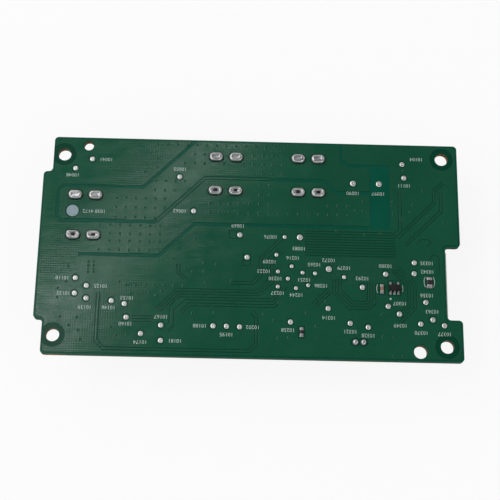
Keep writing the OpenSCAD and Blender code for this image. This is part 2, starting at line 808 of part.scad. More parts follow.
module tab_joints() {
    color("silver")
    for (at = tab_places, s = [-1, 1])
        on_solder_side([at[0] + s * leg_pitch / 2, at[1]]) tab_joint(at[2]);
}

// ---- Pin header ------------------------------------------------------------------------

module header_housing() {
    color("ivory")
    on_component_side(header_at)
    translate([0, 0, land_t])
    difference() {
        translate([-header_l / 2, -header_w / 2, 0]) cube([header_l, header_w, header_h]);
        translate([-header_l / 2 + header_wall, -header_w / 2 + header_wall, header_floor])
            cube([header_l - 2 * header_wall, header_w - 2 * header_wall, header_h]);
        // Key slot in the front wall, and a notch in each end wall
        translate([-header_key / 2, -header_w / 2 - cut, header_floor])
            cube([header_key, header_wall + 2 * cut, header_h]);
        translate([-header_l / 2 - cut, -header_notch / 2, header_h / 2])
            cube([header_l + 2 * cut, header_notch, header_h]);
        for (s = [-1, 1])
            translate([s * pin_pitch / 2 - pin_t / 2, -pin_t / 2, -cut])
                cube([pin_t, pin_t, header_floor + 2 * cut]);
    }
}

// A square pin, pointed at both ends
module header_pin() {
    low = -board_t - pin_out;
    high = land_t + header_h - pin_recess;
    half = pin_t / 2;
    tip = half - pin_point;
    outline = [[-tip, low], [tip, low], [half, low + pin_t], [half, high - pin_t],
               [tip, high], [-tip, high], [-half, high - pin_t], [-half, low + pin_t]];
    intersection() {
        rotate([90, 0, 0]) linear_extrude(pin_t, center = true) polygon(outline);
        rotate([90, 0, 90]) linear_extrude(pin_t, center = true) polygon(outline);
    }
}

module header_pins() {
    color("gold")
    for (s = [-1, 1]) on_component_side(header_at + [s * pin_pitch / 2, 0]) header_pin();
}

module header_joints() {
    color("silver")
    for (s = [-1, 1])
        on_solder_side(header_at + [s * pin_pitch / 2, 0])
        difference() {
            union() {
                rotate_extrude()
                    crown_half_2d(pin_joint_d / 2, land_t, pin_joint_h + joint_flat,
                                  pin_joint_h);
                translate([0, 0, -board_t]) cylinder(h = board_t, d = pin_hole_d);
            }
            translate([-pin_t / 2, -pin_t / 2, -board_t - cut])
                cube([pin_t, pin_t, board_t + pin_joint_h + 2 * cut]);
        }
}

// ---- Moulded packages ------------------------------------------------------------------

// Half of a moulding's section, from the stand-off up, with a plumb band where leads leave it
module mould_2d(half, h, band_z, band_t) {
    low = package_z;
    high = package_z + h;
    polygon([[-half + mould_draft, low], [half - mould_draft, low],
             [half, band_z - band_t / 2], [half, band_z + band_t / 2],
             [half - mould_draft, high], [-half + mould_draft, high],
             [-half, band_z + band_t / 2], [-half, band_z - band_t / 2]]);
}

// A moulded block of size [length, width, height], with a dimple by its first lead if the
// dimple has a radius
module moulding(size, band_z, band_t, dimple_r = 0) {
    difference() {
        intersection() {
            rotate([90, 0, 0]) linear_extrude(size[1] + cut, center = true)
                mould_2d(size[0] / 2, size[2], band_z, band_t);
            rotate([90, 0, 90]) linear_extrude(size[0] + cut, center = true)
                mould_2d(size[1] / 2, size[2], band_z, band_t);
        }
        if (dimple_r > 0)
            translate([-size[0] / 2 + dimple_in * dimple_r, -size[1] / 2 + dimple_in * dimple_r,
                       package_z + size[2] - dimple_depth * dimple_r])
                cylinder(h = dimple_r, r = dimple_r);
    }
}

// Height at which the leads leave a moulding
function band_z(size) = package_z + size[2] * band_part;

// A gull-wing lead from the side of a body at 0, out along Y to its foot on the land
module gull_lead(reach, exit_z, lead) {
    foot_z = land_t + lead[1] / 2;
    heel = reach - lead[2];
    knee = heel * knee_part;
    rotate([90, 0, 90]) linear_extrude(lead[0], center = true)
        polygon(ribbon([[0, exit_z], [knee, exit_z], [heel, foot_z], [reach, foot_z]],
                       lead[1]));
}

// Leads of a package with feet along Y, at the given places
module gull_leads(places, size, span, pitch, lead) {
    for (at = places)
        translate([at[0] * pitch, 0, 0]) rotate([0, 0, at[1] > 0 ? 0 : 180])
            translate([0, size[1] / 2, 0])
                gull_lead((span - size[1]) / 2, band_z(size), lead);
}

module driver_body() {
    color("dimgray") on_solder_side(driver_at)
        moulding(sot_body, band_z(sot_body), sot_lead[1], sot_dimple_r);
}

module driver_leads() {
    color("silver") on_solder_side(driver_at)
        gull_leads(sot5_leads, sot_body, sot_span, sot_pitch, sot_lead);
}

module controller_body() {
    size = [controller_w, controller_w, controller_h];
    color("dimgray") on_component_side(controller_at)
        moulding(size, band_z(size), controller_lead[1], controller_dimple_r);
}

module controller_leads() {
    size = [controller_w, controller_w, controller_h];
    places = [for (k = [0 : controller_n - 1], s = [-1, 1]) [row_place(k), s]];
    color("silver") on_component_side(controller_at)
        for (turn = [0, 90]) rotate([0, 0, turn])
            gull_leads(places, size, controller_span, controller_pitch, controller_lead);
}

module regulator_body() {
    color("dimgray") on_component_side(regulator_at)
        moulding(so8_body, band_z(so8_body), so8_lead[1], so8_dimple_r);
}

module regulator_leads() {
    color("silver") on_component_side(regulator_at)
        gull_leads(so8_leads, so8_body, so8_span, so8_pitch, so8_lead);
}

module gate_driver_bodies() {
    color("dimgray") for (at = gate_driver_places) on_component_side(at)
        moulding(so8_body, band_z(so8_body), so8_lead[1], so8_dimple_r);
}

module gate_driver_leads() {
    color("silver") for (at = gate_driver_places) on_component_side(at)
        gull_leads(so8_leads, so8_body, so8_span, so8_pitch, so8_lead);
}

module small_transistor_bodies() {
    color("dimgray") for (at = small_transistor_places) on_component_side(at)
        moulding(sot_body, band_z(sot_body), sot_lead[1]);
}

module small_transistor_leads() {
    color("silver") for (at = small_transistor_places) on_component_side(at)
        gull_leads(sot3_leads, sot_body, sot_span, sot_pitch, sot_lead);
}

// ---- Power transistors -----------------------------------------------------------------

module power_plate() {
    translate([-power_plate[0] / 2, power_plate_y - power_plate[1] / 2, land_t])
        cube(power_plate);
}

module power_transistor(i) {
    size = [power_w, power_l, power_h];
    color("dimgray") on_component_side(power_places[i])
    difference() {
        moulding(size, land_t + power_exit_z, power_lead[1]);
        power_plate();
    }
}

// Heat plate, two gull-wing leads and the cropped middle lead
module power_transistor_metal(i) {
    color("silver") on_component_side(power_places[i]) {
        power_plate();
        for (s = [-1, 1])
            translate([s * power_lead_x, -power_l / 2, 0]) rotate([0, 0, 180])
                gull_lead(power_reach, land_t + power_exit_z, power_lead);
        translate([-power_lead[0] / 2, -power_l / 2 - power_stub,
                   land_t + power_exit_z - power_lead[1] / 2])
            cube([power_lead[0], power_stub, power_lead[1]]);
    }
}

// ---- Aluminium capacitors --------------------------------------------------------------

module can_lead(s) {
    translate([s > 0 ? can_lead_in : -can_lead_out, -can_lead_w / 2, land_t])
        cube([can_lead_out - can_lead_in, can_lead_w, can_lead_t]);
}

module capacitor_can(i) {
    r = can_d / 2;
    floor_z = land_t + can_base_h;
    color("gainsboro") on_component_side(can_places[i])
    rotate_extrude()
    difference() {
        translate([0, floor_z]) square([r, stand_h - floor_z]);
        translate([r + can_groove[2], floor_z + can_groove[0]]) circle(can_groove[1]);
        corner_web([r, stand_h], -1, -1, can_edge_r);
    }
}

// Square base with two cropped corners, and a post in each corner that holds the can
module capacitor_base(i) {
    half = can_base_w / 2;
    crop = can_base_w * can_crop;
    color("dimgray") on_component_side(can_places[i])
    difference() {
        translate([0, 0, land_t]) linear_extrude(can_base_h + can_post_h)
            polygon([[-half + crop, -half], [half, -half], [half, half], [-half + crop, half],
                     [-half, half - crop], [-half, -half + crop]]);
        translate([0, 0, land_t + can_base_h])
            cylinder(h = can_post_h + cut, d = can_d + 2 * can_gap);
        for (s = [-1, 1]) can_lead(s);
        for (s = [-1, 1]) {
            translate([s > 0 ? half : -half - can_lead_out, -can_lead_w / 2, land_t])
                cube([can_lead_out, can_lead_w, can_lead_t]);
        }
    }
}

module capacitor_leads() {
    color("silver")
    for (at = can_places) on_component_side(at) for (s = [-1, 1]) can_lead(s);
}

// ---- Inductor, shunt, crystal and clamp diode ------------------------------------------

module coil_pad_2d() {
    side = coil_w / 2;
    polygon([[side - coil_end[0], 0], [side + coil_end[2], 0], [side + coil_end[2], coil_end[3]],
             [side, coil_end[3]], [side, coil_end[2]], [side - coil_end[0], coil_end[2]]]);
}

module coil_terminals() {
    translate([0, 0, land_t])
    for (s = [0, 180]) rotate([0, 0, s]) rotate([90, 0, 0])
        linear_extrude(coil_end[1], center = true) coil_pad_2d();
}

module coil_body() {
    half = coil_w / 2;
    color("dimgray") on_component_side(coil_at)
    difference() {
        translate([0, 0, land_t]) linear_extrude(coil_h)
        difference() {
            square(coil_w, center = true);
            for (sx = [-1, 1], sy = [-1, 1])
                corner_web([sx * half, sy * half], -sx, -sy, coil_corner_r);
        }
        coil_terminals();
    }
}

module coil_ends() {
    color("silver") on_component_side(coil_at) coil_terminals();
}

module shunt() {
    end = shunt_size[0] / 2;
    low = land_t + shunt_size[2] / 2;
    high = low + shunt_lift;
    color("rosybrown") on_component_side(shunt_at)
    rotate([90, 0, 0]) linear_extrude(shunt_size[1], center = true)
        polygon(ribbon([[-end, low], [-end + shunt_end, low],
                        [-end + shunt_end + shunt_lift, high],
                        [end - shunt_end - shunt_lift, high], [end - shunt_end, low],
                        [end, low]], shunt_size[2]));
}

module crystal_base() {
    color("lightgray") on_component_side(crystal_at)
    translate([-crystal_size[0] / 2, -crystal_size[1] / 2, land_t]) cube(crystal_size);
}

module crystal_lid() {
    half = [lid_size[0] / 2, lid_size[1] / 2];
    color("silver") on_component_side(crystal_at)
    translate([0, 0, land_t + crystal_size[2]]) linear_extrude(lid_size[2])
    difference() {
        square([lid_size[0], lid_size[1]], center = true);
        for (sx = [-1, 1], sy = [-1, 1])
            corner_web([sx * half[0], sy * half[1]], -sx, -sy, lid_corner_r);
    }
}

module clamp_diode_body() {
    color("dimgray") on_component_side(clamp_at)
    translate([0, 0, clamp_lead[1]])
        moulding(clamp_body, package_z + clamp_body[2] / 2, clamp_lead[1]);
}

// Two leads that come out of the ends and fold down and under
module clamp_diode_leads() {
    end = clamp_body[0] / 2;
    out = end + clamp_reach;
    high = package_z + clamp_body[2] / 2 + clamp_lead[1];
    low = land_t + clamp_lead[1] / 2;
    color("silver") on_component_side(clamp_at)
    for (s = [0, 180]) rotate([0, 0, s]) rotate([90, 0, 0])
        linear_extrude(clamp_lead[0], center = true)
            polygon(ribbon([[end, high], [out, high], [out, low],
                            [end - clamp_lead[2], low]], clamp_lead[1]));
}

// ---- Signal connector ------------------------------------------------------------------

function way_y(k) = notch_y + (k - (ways - 1) / 2) * way_pitch;

// Height of the contacts over the board
contact_z = land_t + plug_h / 2;

module contact_2d() {
    rear = -plug_depth / 2;
    foot_z = land_t + contact[1] / 2;
    polygon(ribbon([[contact[2], contact_z], [rear - contact[1], contact_z],
                    [rear - contact[1], foot_z], [rear - contact_reach, foot_z]],
                   contact[1]));
}

module connector_housing() {
    color("ivory") on_component_side([plug_mid_x, notch_y])
    translate([-plug_depth / 2, -plug_l / 2, land_t])
    difference() {
        cube([plug_depth, plug_l, plug_h]);
        translate([plug_back, plug_wall, plug_wall])
            cube([plug_depth, plug_l - 2 * plug_wall, plug_h - 2 * plug_wall]);
        // Two key slots in the outer wall
        for (y = [plug_side * 2, plug_l - plug_side * 2 - plug_key[0]])
            translate([plug_depth - plug_key[1], y, plug_h - plug_wall - cut])
                cube([plug_key[1] + cut, plug_key[0], plug_wall + 2 * cut]);
        for (k = [0 : ways - 1])
            translate([-cut, plug_l / 2 + way_y(k) - notch_y - contact[0] / 2,
                       contact_z - land_t - contact[1] / 2])
                cube([plug_back + 2 * cut, contact[0], contact[1]]);
    }
}

module connector_contacts() {
    color("gold")
    for (k = [0 : ways - 1]) on_component_side([plug_mid_x, way_y(k)])
        rotate([90, 0, 0]) linear_extrude(contact[0], center = true) contact_2d();
}

// A solder bracket on each end of the housing
module connector_brackets() {
    face = plug_l / 2;
    mid = bracket[1] / 2;
    color("silver") on_component_side([plug_mid_x + bracket_x, notch_y])
    for (s = [0, 180]) rotate([0, 0, s])
        rotate([90, 0, 90]) linear_extrude(bracket[0], center = true)
            polygon(ribbon([[face + mid, land_t + bracket[3]], [face + mid, land_t + mid],
                            [face + bracket[2], land_t + mid]], bracket[1]));
}

// ---- Chips -----------------------------------------------------------------------------

// Ceramic body between its two metal ends
module chip_body(size) {
    l = size[0] - 2 * size[3];
    translate([-l / 2, -size[1] / 2, land_t]) cube([l, size[1], size[2] - chip_cap]);
}

// Metal ends, each with its solder fillet on the land
module chip_ends(size) {
    end = size[0] / 2;
    for (s = [0, 180]) rotate([0, 0, s]) rotate([90, 0, 0])
        linear_extrude(size[1], center = true)
            polygon([[end - size[3], land_t], [end + chip_land[0] - chip_land[1], land_t],
                     [end + chip_land[1], land_t + size[2] * chip_fillet[0]],
                     [end, land_t + size[2] * chip_fillet[1]], [end, land_t + size[2]],
                     [end - size[3], land_t + size[2]]]);
}

module solder_side_chips() {
    color("dimgray") {
        on_solder_side(resistor_0805_at, resistor_0805_at[2]) chip_body(chip_0805);
        on_solder_side(resistor_0603_at, resistor_0603_at[2]) chip_body(chip_0603);
    }
    color("rosybrown")
        on_solder_side(capacitor_0603_at, capacitor_0603_at[2]) chip_body(chip_0603);
}

module solder_side_chip_ends() {
    color("silver") {
        on_solder_side(resistor_0805_at, resistor_0805_at[2]) chip_ends(chip_0805);
        on_solder_side(resistor_0603_at, resistor_0603_at[2]) chip_ends(chip_0603);
        on_solder_side(capacitor_0603_at, capacitor_0603_at[2]) chip_ends(chip_0603);
    }
}

module resistor_bodies() {
    color("dimgray")
    for (at = resistor_places) on_component_side(at, at[2]) chip_body(chip_0603);
}

module resistor_ends() {
    color("silver")
    for (at = resistor_places) on_component_side(at, at[2]) chip_ends(chip_0603);
}

module capacitor_chips() {
    color("rosybrown")
    for (at = capacitor_places) on_component_side(at, at[2]) chip_body(chip_0603);
}

module capacitor_chip_ends() {
    color("silver")
    for (at = capacitor_places) on_component_side(at, at[2]) chip_ends(chip_0603);
}

// ---- The whole board -------------------------------------------------------------------

board();
solder_side_copper();
component_side_copper();
solder_side_lands();
component_side_lands();
test_pads();
reject_mark();
tab_joints();
header_joints();
driver_body();
driver_leads();
solder_side_chips();
solder_side_chip_ends();
for (i = [0 : len(tab_places) - 1])
    tab(i);
header_housing();
header_pins();
controller_body();
controller_leads();
for (i = [0 : len(can_places) - 1]) {
    capacitor_can(i);
    capacitor_base(i);
}
capacitor_leads();
coil_body();
coil_ends();
for (i = [0 : power_n - 1]) {
    power_transistor(i);
    power_transistor_metal(i);
}
regulator_body();
regulator_leads();
gate_driver_bodies();
gate_driver_leads();
small_transistor_bodies();
small_transistor_leads();
crystal_base();
crystal_lid();
shunt();
clamp_diode_body();
clamp_diode_leads();
connector_housing();
connector_contacts();
connector_brackets();
resistor_bodies();
resistor_ends();
capacitor_chips();
capacitor_chip_ends();
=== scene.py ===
"""Control board: the finish of every surface, and what is too fine for its solids.

Everything is in metres, in the frame of the solids: X along the board, Y across it, Z up
out of the solder side. Places come from the solids themselves wherever a solid has them.
"""

import json
import math

import bmesh
import bpy
from mathutils import Matrix, Vector, noise
from mathutils.bvhtree import BVHTree


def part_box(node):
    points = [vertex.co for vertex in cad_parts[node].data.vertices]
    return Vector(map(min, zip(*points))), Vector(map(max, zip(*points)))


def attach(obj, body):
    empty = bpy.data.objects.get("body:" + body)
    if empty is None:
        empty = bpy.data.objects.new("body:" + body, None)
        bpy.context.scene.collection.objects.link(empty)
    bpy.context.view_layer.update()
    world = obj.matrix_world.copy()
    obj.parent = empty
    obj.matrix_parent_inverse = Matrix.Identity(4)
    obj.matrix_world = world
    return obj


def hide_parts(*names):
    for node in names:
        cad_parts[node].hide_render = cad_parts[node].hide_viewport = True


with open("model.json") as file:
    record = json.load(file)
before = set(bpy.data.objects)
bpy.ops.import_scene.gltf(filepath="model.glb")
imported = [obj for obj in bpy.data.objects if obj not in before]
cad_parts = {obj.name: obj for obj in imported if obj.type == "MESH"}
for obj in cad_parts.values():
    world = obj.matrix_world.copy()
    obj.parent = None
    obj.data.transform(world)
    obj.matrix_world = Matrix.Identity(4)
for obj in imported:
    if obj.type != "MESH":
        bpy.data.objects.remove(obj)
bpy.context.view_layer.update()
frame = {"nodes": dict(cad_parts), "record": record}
nodes = frame["nodes"]

MM = 0.001

# Levels of the board's faces
SOLDER_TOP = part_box("solder_side_copper")[1].z
COMPONENT_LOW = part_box("component_side_copper")[0].z
LAMINATE_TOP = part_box("board")[1].z
# Heights well clear of the whole board, from which rays look for what is on it
CLEAR_ABOVE, CLEAR_BELOW = 20 * MM, -10 * MM

# Places on the board's plan: holes, and where it was snapped off its panel
SCREW_HOLES = [(-47.5, 23.5), (-47.5, -23.5), (48.5, 24.5), (48.5, -24.5)]
OTHER_HOLES = [(-41.5, 26.0), (41.9, -25.9)]
BREAK_OFF = [(-48.0, -28.3), (-46.2, -28.3)]

# Points of a solid's triangles that lie closer than this are one point
WELD = 0.002 * MM
# What lies nearer than this to an axis or a level is on it
TOUCH = 0.001 * MM


# ---- Colours and nodes of materials ------------------------------------------------------


def linear(code):
    """An sRGB hex colour as linear RGBA."""
    parts = [int(code[i : i + 2], 16) / 255 for i in (0, 2, 4)]
    return tuple(c / 12.92 if c <= 0.04045 else ((c + 0.055) / 1.055) ** 2.4 for c in parts) + (1.0,)


def per(size_mm):
    """The scale of a pattern whose features measure this many millimetres."""
    return 1 / (size_mm * MM)


def band_scale(pitch_mm):
    """The scale of Blender's wave texture, which turns by 20 radians for each unit, for a
    pitch in millimetres."""
    return per(pitch_mm) * math.tau / 20


def add(tree, kind, inputs=None, **settings):
    """Adds a node to a tree, sets its properties, and fills or links its inputs. A hex code
    fills an input with its colour."""
    made = tree.nodes.new(kind)
    for name, value in settings.items():
        setattr(made, name, value)
    for key, value in (inputs or {}).items():
        if isinstance(value, bpy.types.NodeSocket):
            tree.links.new(value, made.inputs[key])
        else:
            made.inputs[key].default_value = linear(value) if isinstance(value, str) else value
    return made


def start(name, inputs=None):
    """A new material with its shader, and the object coordinates that its patterns read."""
    made = bpy.data.materials.new(name)
    made.use_nodes = True
    tree = made.node_tree
    tree.nodes.clear()
    shader = add(tree, "ShaderNodeBsdfPrincipled", inputs)
    add(tree, "ShaderNodeOutputMaterial", {"Surface": shader.outputs["BSDF"]})
    place = add(tree, "ShaderNodeTexCoord").outputs["Object"]
    return made, tree, shader, place


# ---- Patterns, each from 0 to 1 ------------------------------------------------------------


def patches(tree, place, size_mm, low=0.3, high=0.7, detail=3.0, most=1.0, drawn=None):
    """Soft patches: noise between two of its levels, spread over 0 to most. Drawn is a scale
    along each axis, and under 1 it draws the patches out."""
    if drawn:
        place = add(tree, "ShaderNodeMapping", {"Vector": place, "Scale": drawn}).outputs["Vector"]
    cloud = add(tree, "ShaderNodeTexNoise", {"Vector": place, "Scale": per(size_mm), "Detail": detail})
    levels = {"Value": cloud.outputs["Fac"], "From Min": low, "From Max": high, "To Max": most}
    return add(tree, "ShaderNodeMapRange", levels).outputs["Result"]


def cloth_weave(tree, place, pitch_mm):
    """Height of the glass cloth that shows through thin resin: threads along X and along Y."""
    look = {"Vector": place, "Scale": band_scale(pitch_mm), "Distortion": 1.0, "Detail": 1.0}
    along = add(tree, "ShaderNodeTexWave", look, bands_direction="X").outputs["Fac"]
    across = add(tree, "ShaderNodeTexWave", look, bands_direction="Y").outputs["Fac"]
    return add(tree, "ShaderNodeMath", {0: along, 1: across}, operation="ADD").outputs["Value"]


def within(tree, place, spots, radius_mm):
    """1 within a distance of any of some upright axes, given by their places on the plan in
    millimetres, and 0 elsewhere."""
    plan = add(tree, "ShaderNodeVectorMath", {0: place, 1: (1, 1, 0)}, operation="MULTIPLY")
    near = None
    for x, y in spots:
        axis = {0: plan.outputs["Vector"], 1: (x * MM, y * MM, 0)}
        away = add(tree, "ShaderNodeVectorMath", axis, operation="DISTANCE").outputs["Value"]
        reach = {0: away, 1: radius_mm * MM}
        inside = add(tree, "ShaderNodeMath", reach, operation="LESS_THAN").outputs["Value"]
        if near is not None:
            either = {0: near, 1: inside}
            inside = add(tree, "ShaderNodeMath", either, operation="MAXIMUM").outputs["Value"]
        near = inside
    return near


# ---- What a pattern does to a surface ------------------------------------------------------


def coated(tree, base, *coats):
    """A colour with coats over it, each a pattern and the colour that it has where it is 1."""
    for pattern, colour in coats:
        mixed = add(tree, "ShaderNodeMix", {0: pattern, 6: base, 7: colour}, data_type="RGBA")
        base = mixed.outputs[2]
    return base


def paint(tree, shader, colour):
    """Gives a shader a colour that has been worked out."""
    tree.links.new(colour, shader.inputs["Base Color"])


def polish(tree, shader, pattern, first, second):
    """Roughness that runs from a first value to a second one with a pattern."""
    rough = add(tree, "ShaderNodeMapRange", {"Value": pattern, "To Min": first, "To Max": second})
    tree.links.new(rough.outputs["Result"], shader.inputs["Roughness"])


def relief(tree, shader, pattern, depth_mm):
    """A pattern as bumps of a real depth, on top of any that the shader has already."""
    bump = add(tree, "ShaderNodeBump", {"Height": pattern, "Distance": depth_mm * MM})
    for under in shader.inputs["Normal"].links:
        tree.links.new(under.from_socket, bump.inputs["Normal"])
    tree.links.new(bump.outputs["Normal"], shader.inputs["Normal"])


def dress(tree, shader, pattern, colours, gloss=None, depth_mm=None):
    """Lets a pattern run between two colours and, where they are given, between two
    roughnesses and up to a height."""
    paint(tree, shader, coated(tree, colours[0], (pattern, colours[1])))
    if gloss:
        polish(tree, shader, pattern, *gloss)
    if depth_mm:
        relief(tree, shader, pattern, depth_mm)


# ---- Materials of the board ---------------------------------------------------------------

METAL = {"Metallic": 1.0}


def masked_copper():
    """Green epoxy solder mask, curtain-coated over copper: a smooth green skin with a soft
    gloss, a little thicker and darker in patches, with the weave of the glass under it."""
    made, tree, shader, place = start("masked_copper", {"IOR": 1.5})
    thin = patches(tree, place, 14, low=0.35)
    thick = patches(tree, place, 0.6, most=0.3)
    paint(tree, shader, coated(tree, "0B4B35", (thin, "10513A"), (thick, "08412E")))
    polish(tree, shader, patches(tree, place, 4), 0.1, 0.19)
    # Over the copper's edges the mask runs in a soft curve
    run = add(tree, "ShaderNodeBevel", {"Radius": 0.12 * MM}, samples=4)
    tree.links.new(run.outputs["Normal"], shader.inputs["Normal"])
    # It has swells and streaks along the way the curtain ran, and follows the weave
    swells = patches(tree, place, 2.5, 0.2, 0.8, detail=1.0, drawn=(0.4, 1, 1))
    streaks = patches(tree, place, 0.5, detail=1.0, drawn=(0.15, 1, 1))
    relief(tree, shader, swells, 0.016)
    relief(tree, shader, streaks, 0.0025)
    relief(tree, shader, cloth_weave(tree, place, 0.6), 0.0025)
    return made


def board_laminate():
    """FR-4, glass cloth in epoxy: under the mask it is a darker, bluer green than copper is,
    and its routed edge shows tan resin with pale layers of glass."""
    made, tree, shader, place = start("laminate", {"Specular IOR Level": 0.2})
    # Where no layer has copper, round the screws, hardly any light comes back
    round_screws = within(tree, place, SCREW_HOLES, 3.3)
    face = coated(tree, "034A39", (patches(tree, place, 9), "064F3D"), (round_screws, "043E2D"))
    # Painted shade: the face is darkened where ambient occlusion finds it hemmed in, in narrow gaps
    # and along the foot of the copper; mask also gathers a little thicker there
    ambient_occlusion = add(tree, "ShaderNodeAmbientOcclusion", {"Distance": 0.2 * MM}, samples=6).outputs["AO"]
    painted_shade_fade = add(tree, "ShaderNodeMapRange", {"Value": ambient_occlusion, "From Min": 0.6, "From Max": 0.92})
    face = coated(tree, "02281E", (painted_shade_fade.outputs["Result"], face))
    # The routed edge: layers of glass 0.4 mm apart, with the cutter's marks across them
    cut = {"Vector": place, "Scale": band_scale(0.4), "Distortion": 3.0}
    cut.update({"Detail": 3.0, "Detail Scale": 4.0})
    layers = add(tree, "ShaderNodeTexWave", cut, bands_direction="Z").outputs["Fac"]
    # Mask has run over the outer rim, but the walls of the holes are bare
    rim = coated(tree, "12362A", (layers, "2E4A36"))
    wall = coated(tree, "5A4426", (layers, "94703F"))
    bare = within(tree, place, SCREW_HOLES + OTHER_HOLES + BREAK_OFF, 2.1)
    stains = patches(tree, place, 0.5, 0.45, 0.6)
    edge = coated(tree, rim, (bare, wall), (stains, "2A3A26"))
    normal = add(tree, "ShaderNodeNewGeometry").outputs["Normal"]
    upright = add(tree, "ShaderNodeSeparateXYZ", {"Vector": normal}).outputs["Z"]
    flat = add(tree, "ShaderNodeMath", {0: upright}, operation="ABSOLUTE").outputs["Value"]
    paint(tree, shader, coated(tree, edge, (flat, face)))
    polish(tree, shader, flat, 0.75, 0.18)
    relief(tree, shader, cloth_weave(tree, place, 0.7), 0.003)
    return made


def tin_solder(name, dark, light):
    """Lead-free tin solder that froze in air: bright, slightly grey, with fine grains and
    dull patches between smooth ones."""
    made, tree, shader, place = start(name, METAL)
    dress(tree, shader, patches(tree, place, 0.45, 0.35, 0.65), (dark, light), (0.4, 0.28))
    relief(tree, shader, patches(tree, place, 0.35), 0.014)
    return made


def mark_coating():
    """Matt grey-blue paint over the round mark."""
    made, tree, shader, place = start("mark", {"Roughness": 0.55})
    dress(tree, shader, patches(tree, place, 0.6, 0.35, 0.65), ("7E9096", "8C9FA8"))
    return made


def tinned_brass():
    """Brass sheet, stamped and tin plated: even pale grey with a faint warm cast and the
    long marks of rolling."""
    made, tree, shader, place = start("tinned_brass", METAL)
    marks = patches(tree, place, 0.12, drawn=(1, 1, 0.08))
    dress(tree, shader, marks, ("C6C3BC", "D2D0CA"), (0.3, 0.42), 0.002)
    return made


def tin_plate():
    """Matt tin plating on leads and chip ends: satin, even, light grey."""
    made, tree, shader, place = start("tin_plate", METAL)
    dress(tree, shader, patches(tree, place, 0.15), ("B9BABB", "CFD0D0"), (0.32, 0.45))
    return made


def gilt():
    """A thin flash of gold on square wire: deep yellow and nearly mirror-smooth."""
    made, tree, shader, place = start("gilt", METAL)
    dress(tree, shader, patches(tree, place, 0.3), ("D8B45C", "E8CB7E"), (0.2, 0.3))
    return made


def moulded_epoxy():
    """Black filled epoxy from an eroded mould: charcoal with a fine matt grain."""
    made, tree, shader, place = start("moulded_epoxy", {"Specular IOR Level": 0.3})
    grain = patches(tree, place, 0.12, detail=4.0)
    dress(tree, shader, grain, ("0C0C0E", "17181A"), (0.5, 0.66), 0.008)
    return made


def ivory_nylon():
    """Unfilled nylon, injection moulded: warm ivory, slightly see-through, soft gloss."""
    depth = {"Subsurface Weight": 0.15, "Subsurface Scale": 0.8 * MM}
    made, tree, shader, place = start("ivory_nylon", {"Roughness": 0.42, "IOR": 1.53, **depth})
    dress(tree, shader, patches(tree, place, 2.5), ("DED6BE", "EAE3CF"))
    relief(tree, shader, patches(tree, place, 0.2), 0.004)
    return made


def drawn_aluminium():
    """Aluminium drawn into a can: bright, with faint upright marks from the die."""
    made, tree, shader, place = start("drawn_aluminium", METAL)
    marks = patches(tree, place, 0.15, drawn=(1, 1, 0.05))
    dress(tree, shader, marks, ("CFD1D3", "E3E4E6"), (0.2, 0.34), 0.003)
    return made


def black_base():
    """Glass-filled black plastic of the capacitor bases: dark, with a dull gloss."""
    made, tree, shader, place = start("black_base", {"IOR": 1.5})
    dress(tree, shader, patches(tree, place, 0.2), ("111214", "1C1D1F"), (0.4, 0.52), 0.006)
    return made


def pressed_powder():
    """Iron powder pressed with resin: dark grey, with fine pale grains."""
    made, tree, shader, place = start("pressed_powder")
    grains = patches(tree, place, 0.1, 0.5, 0.75, detail=2.0)
    dress(tree, shader, grains, ("35363A", "6A6B6E"), (0.62, 0.5), 0.012)
    return made


def shunt_strip():
    """Rolled copper-manganese strip: a dull rosy metal with fine lines along it."""
    made, tree, shader, place = start("shunt_strip", METAL)
    lines = patches(tree, place, 0.1, drawn=(0.05, 1, 1))
    dress(tree, shader, lines, ("8E7262", "AE9180"), (0.35, 0.5), 0.003)
    return made


def fired_ceramic(name, dark, light, roughness):
    """Sintered ceramic of the crystal's base and the chips: fine-grained and even."""
    made, tree, shader, place = start(name, {"Roughness": roughness, "IOR": 1.7})
    dress(tree, shader, patches(tree, place, 0.15), (dark, light))
    return made


def nickel_lid():
    """Nickel-plated steel lid of the crystal: satin with a faint warm cast."""
    made, tree, shader, place = start("nickel_lid", METAL)
    dress(tree, shader, patches(tree, place, 0.3), ("B5B1A8", "C9C5BC"), (0.25, 0.38))
    return made


def printed_ink():
    """White epoxy ink, screen printed: matt, a little thin, so that green shows through."""
    made, tree, shader, place = start("printed_ink", {"Roughness": 0.6})
    dress(tree, shader, patches(tree, place, 0.4, 0.3, 0.75), ("9DB3A8", "C6D3CB"))
    return made


def sunk_mask_and_shade():
    """Mask that has sunk into a plated hole or a gap: darker because it is thick there, and darker
    still with painted shade of the pit or groove, which these shallow pieces cannot cast.
    """
    dull = {"Roughness": 0.25, "IOR": 1.5, "Specular IOR Level": 0.25}
    made, tree, shader, place = start("sunk_mask_and_shade", dull)
    dress(tree, shader, patches(tree, place, 0.3), ("04301F", "073A28"))
    return made


def painted_well_shade():
    """Painted shade at the bottom of a well: a brown-black, glossy disc that stands in for the shade
    deep in the well.
    """
    made, tree, shader, place = start("painted_well_shade", {"Roughness": 0.35, "IOR": 1.5})
    dress(tree, shader, patches(tree, place, 0.4), ("0B0908", "1D1713"))
    return made


def can_ink():
    """Black ink printed on bare aluminium: flat, with a slight sheen."""
    made, tree, shader, place = start("can_ink", {"Roughness": 0.45})
    dress(tree, shader, patches(tree, place, 0.5), ("151516", "232325"))
    return made


def lasered():
    """Figures burnt into dark epoxy by a laser: pale grey and dead matt."""
    made, tree, shader, place = start("lasered", {"Roughness": 0.8})
    dress(tree, shader, patches(tree, place, 0.2), ("7F7F7C", "A3A3A0"))
    return made


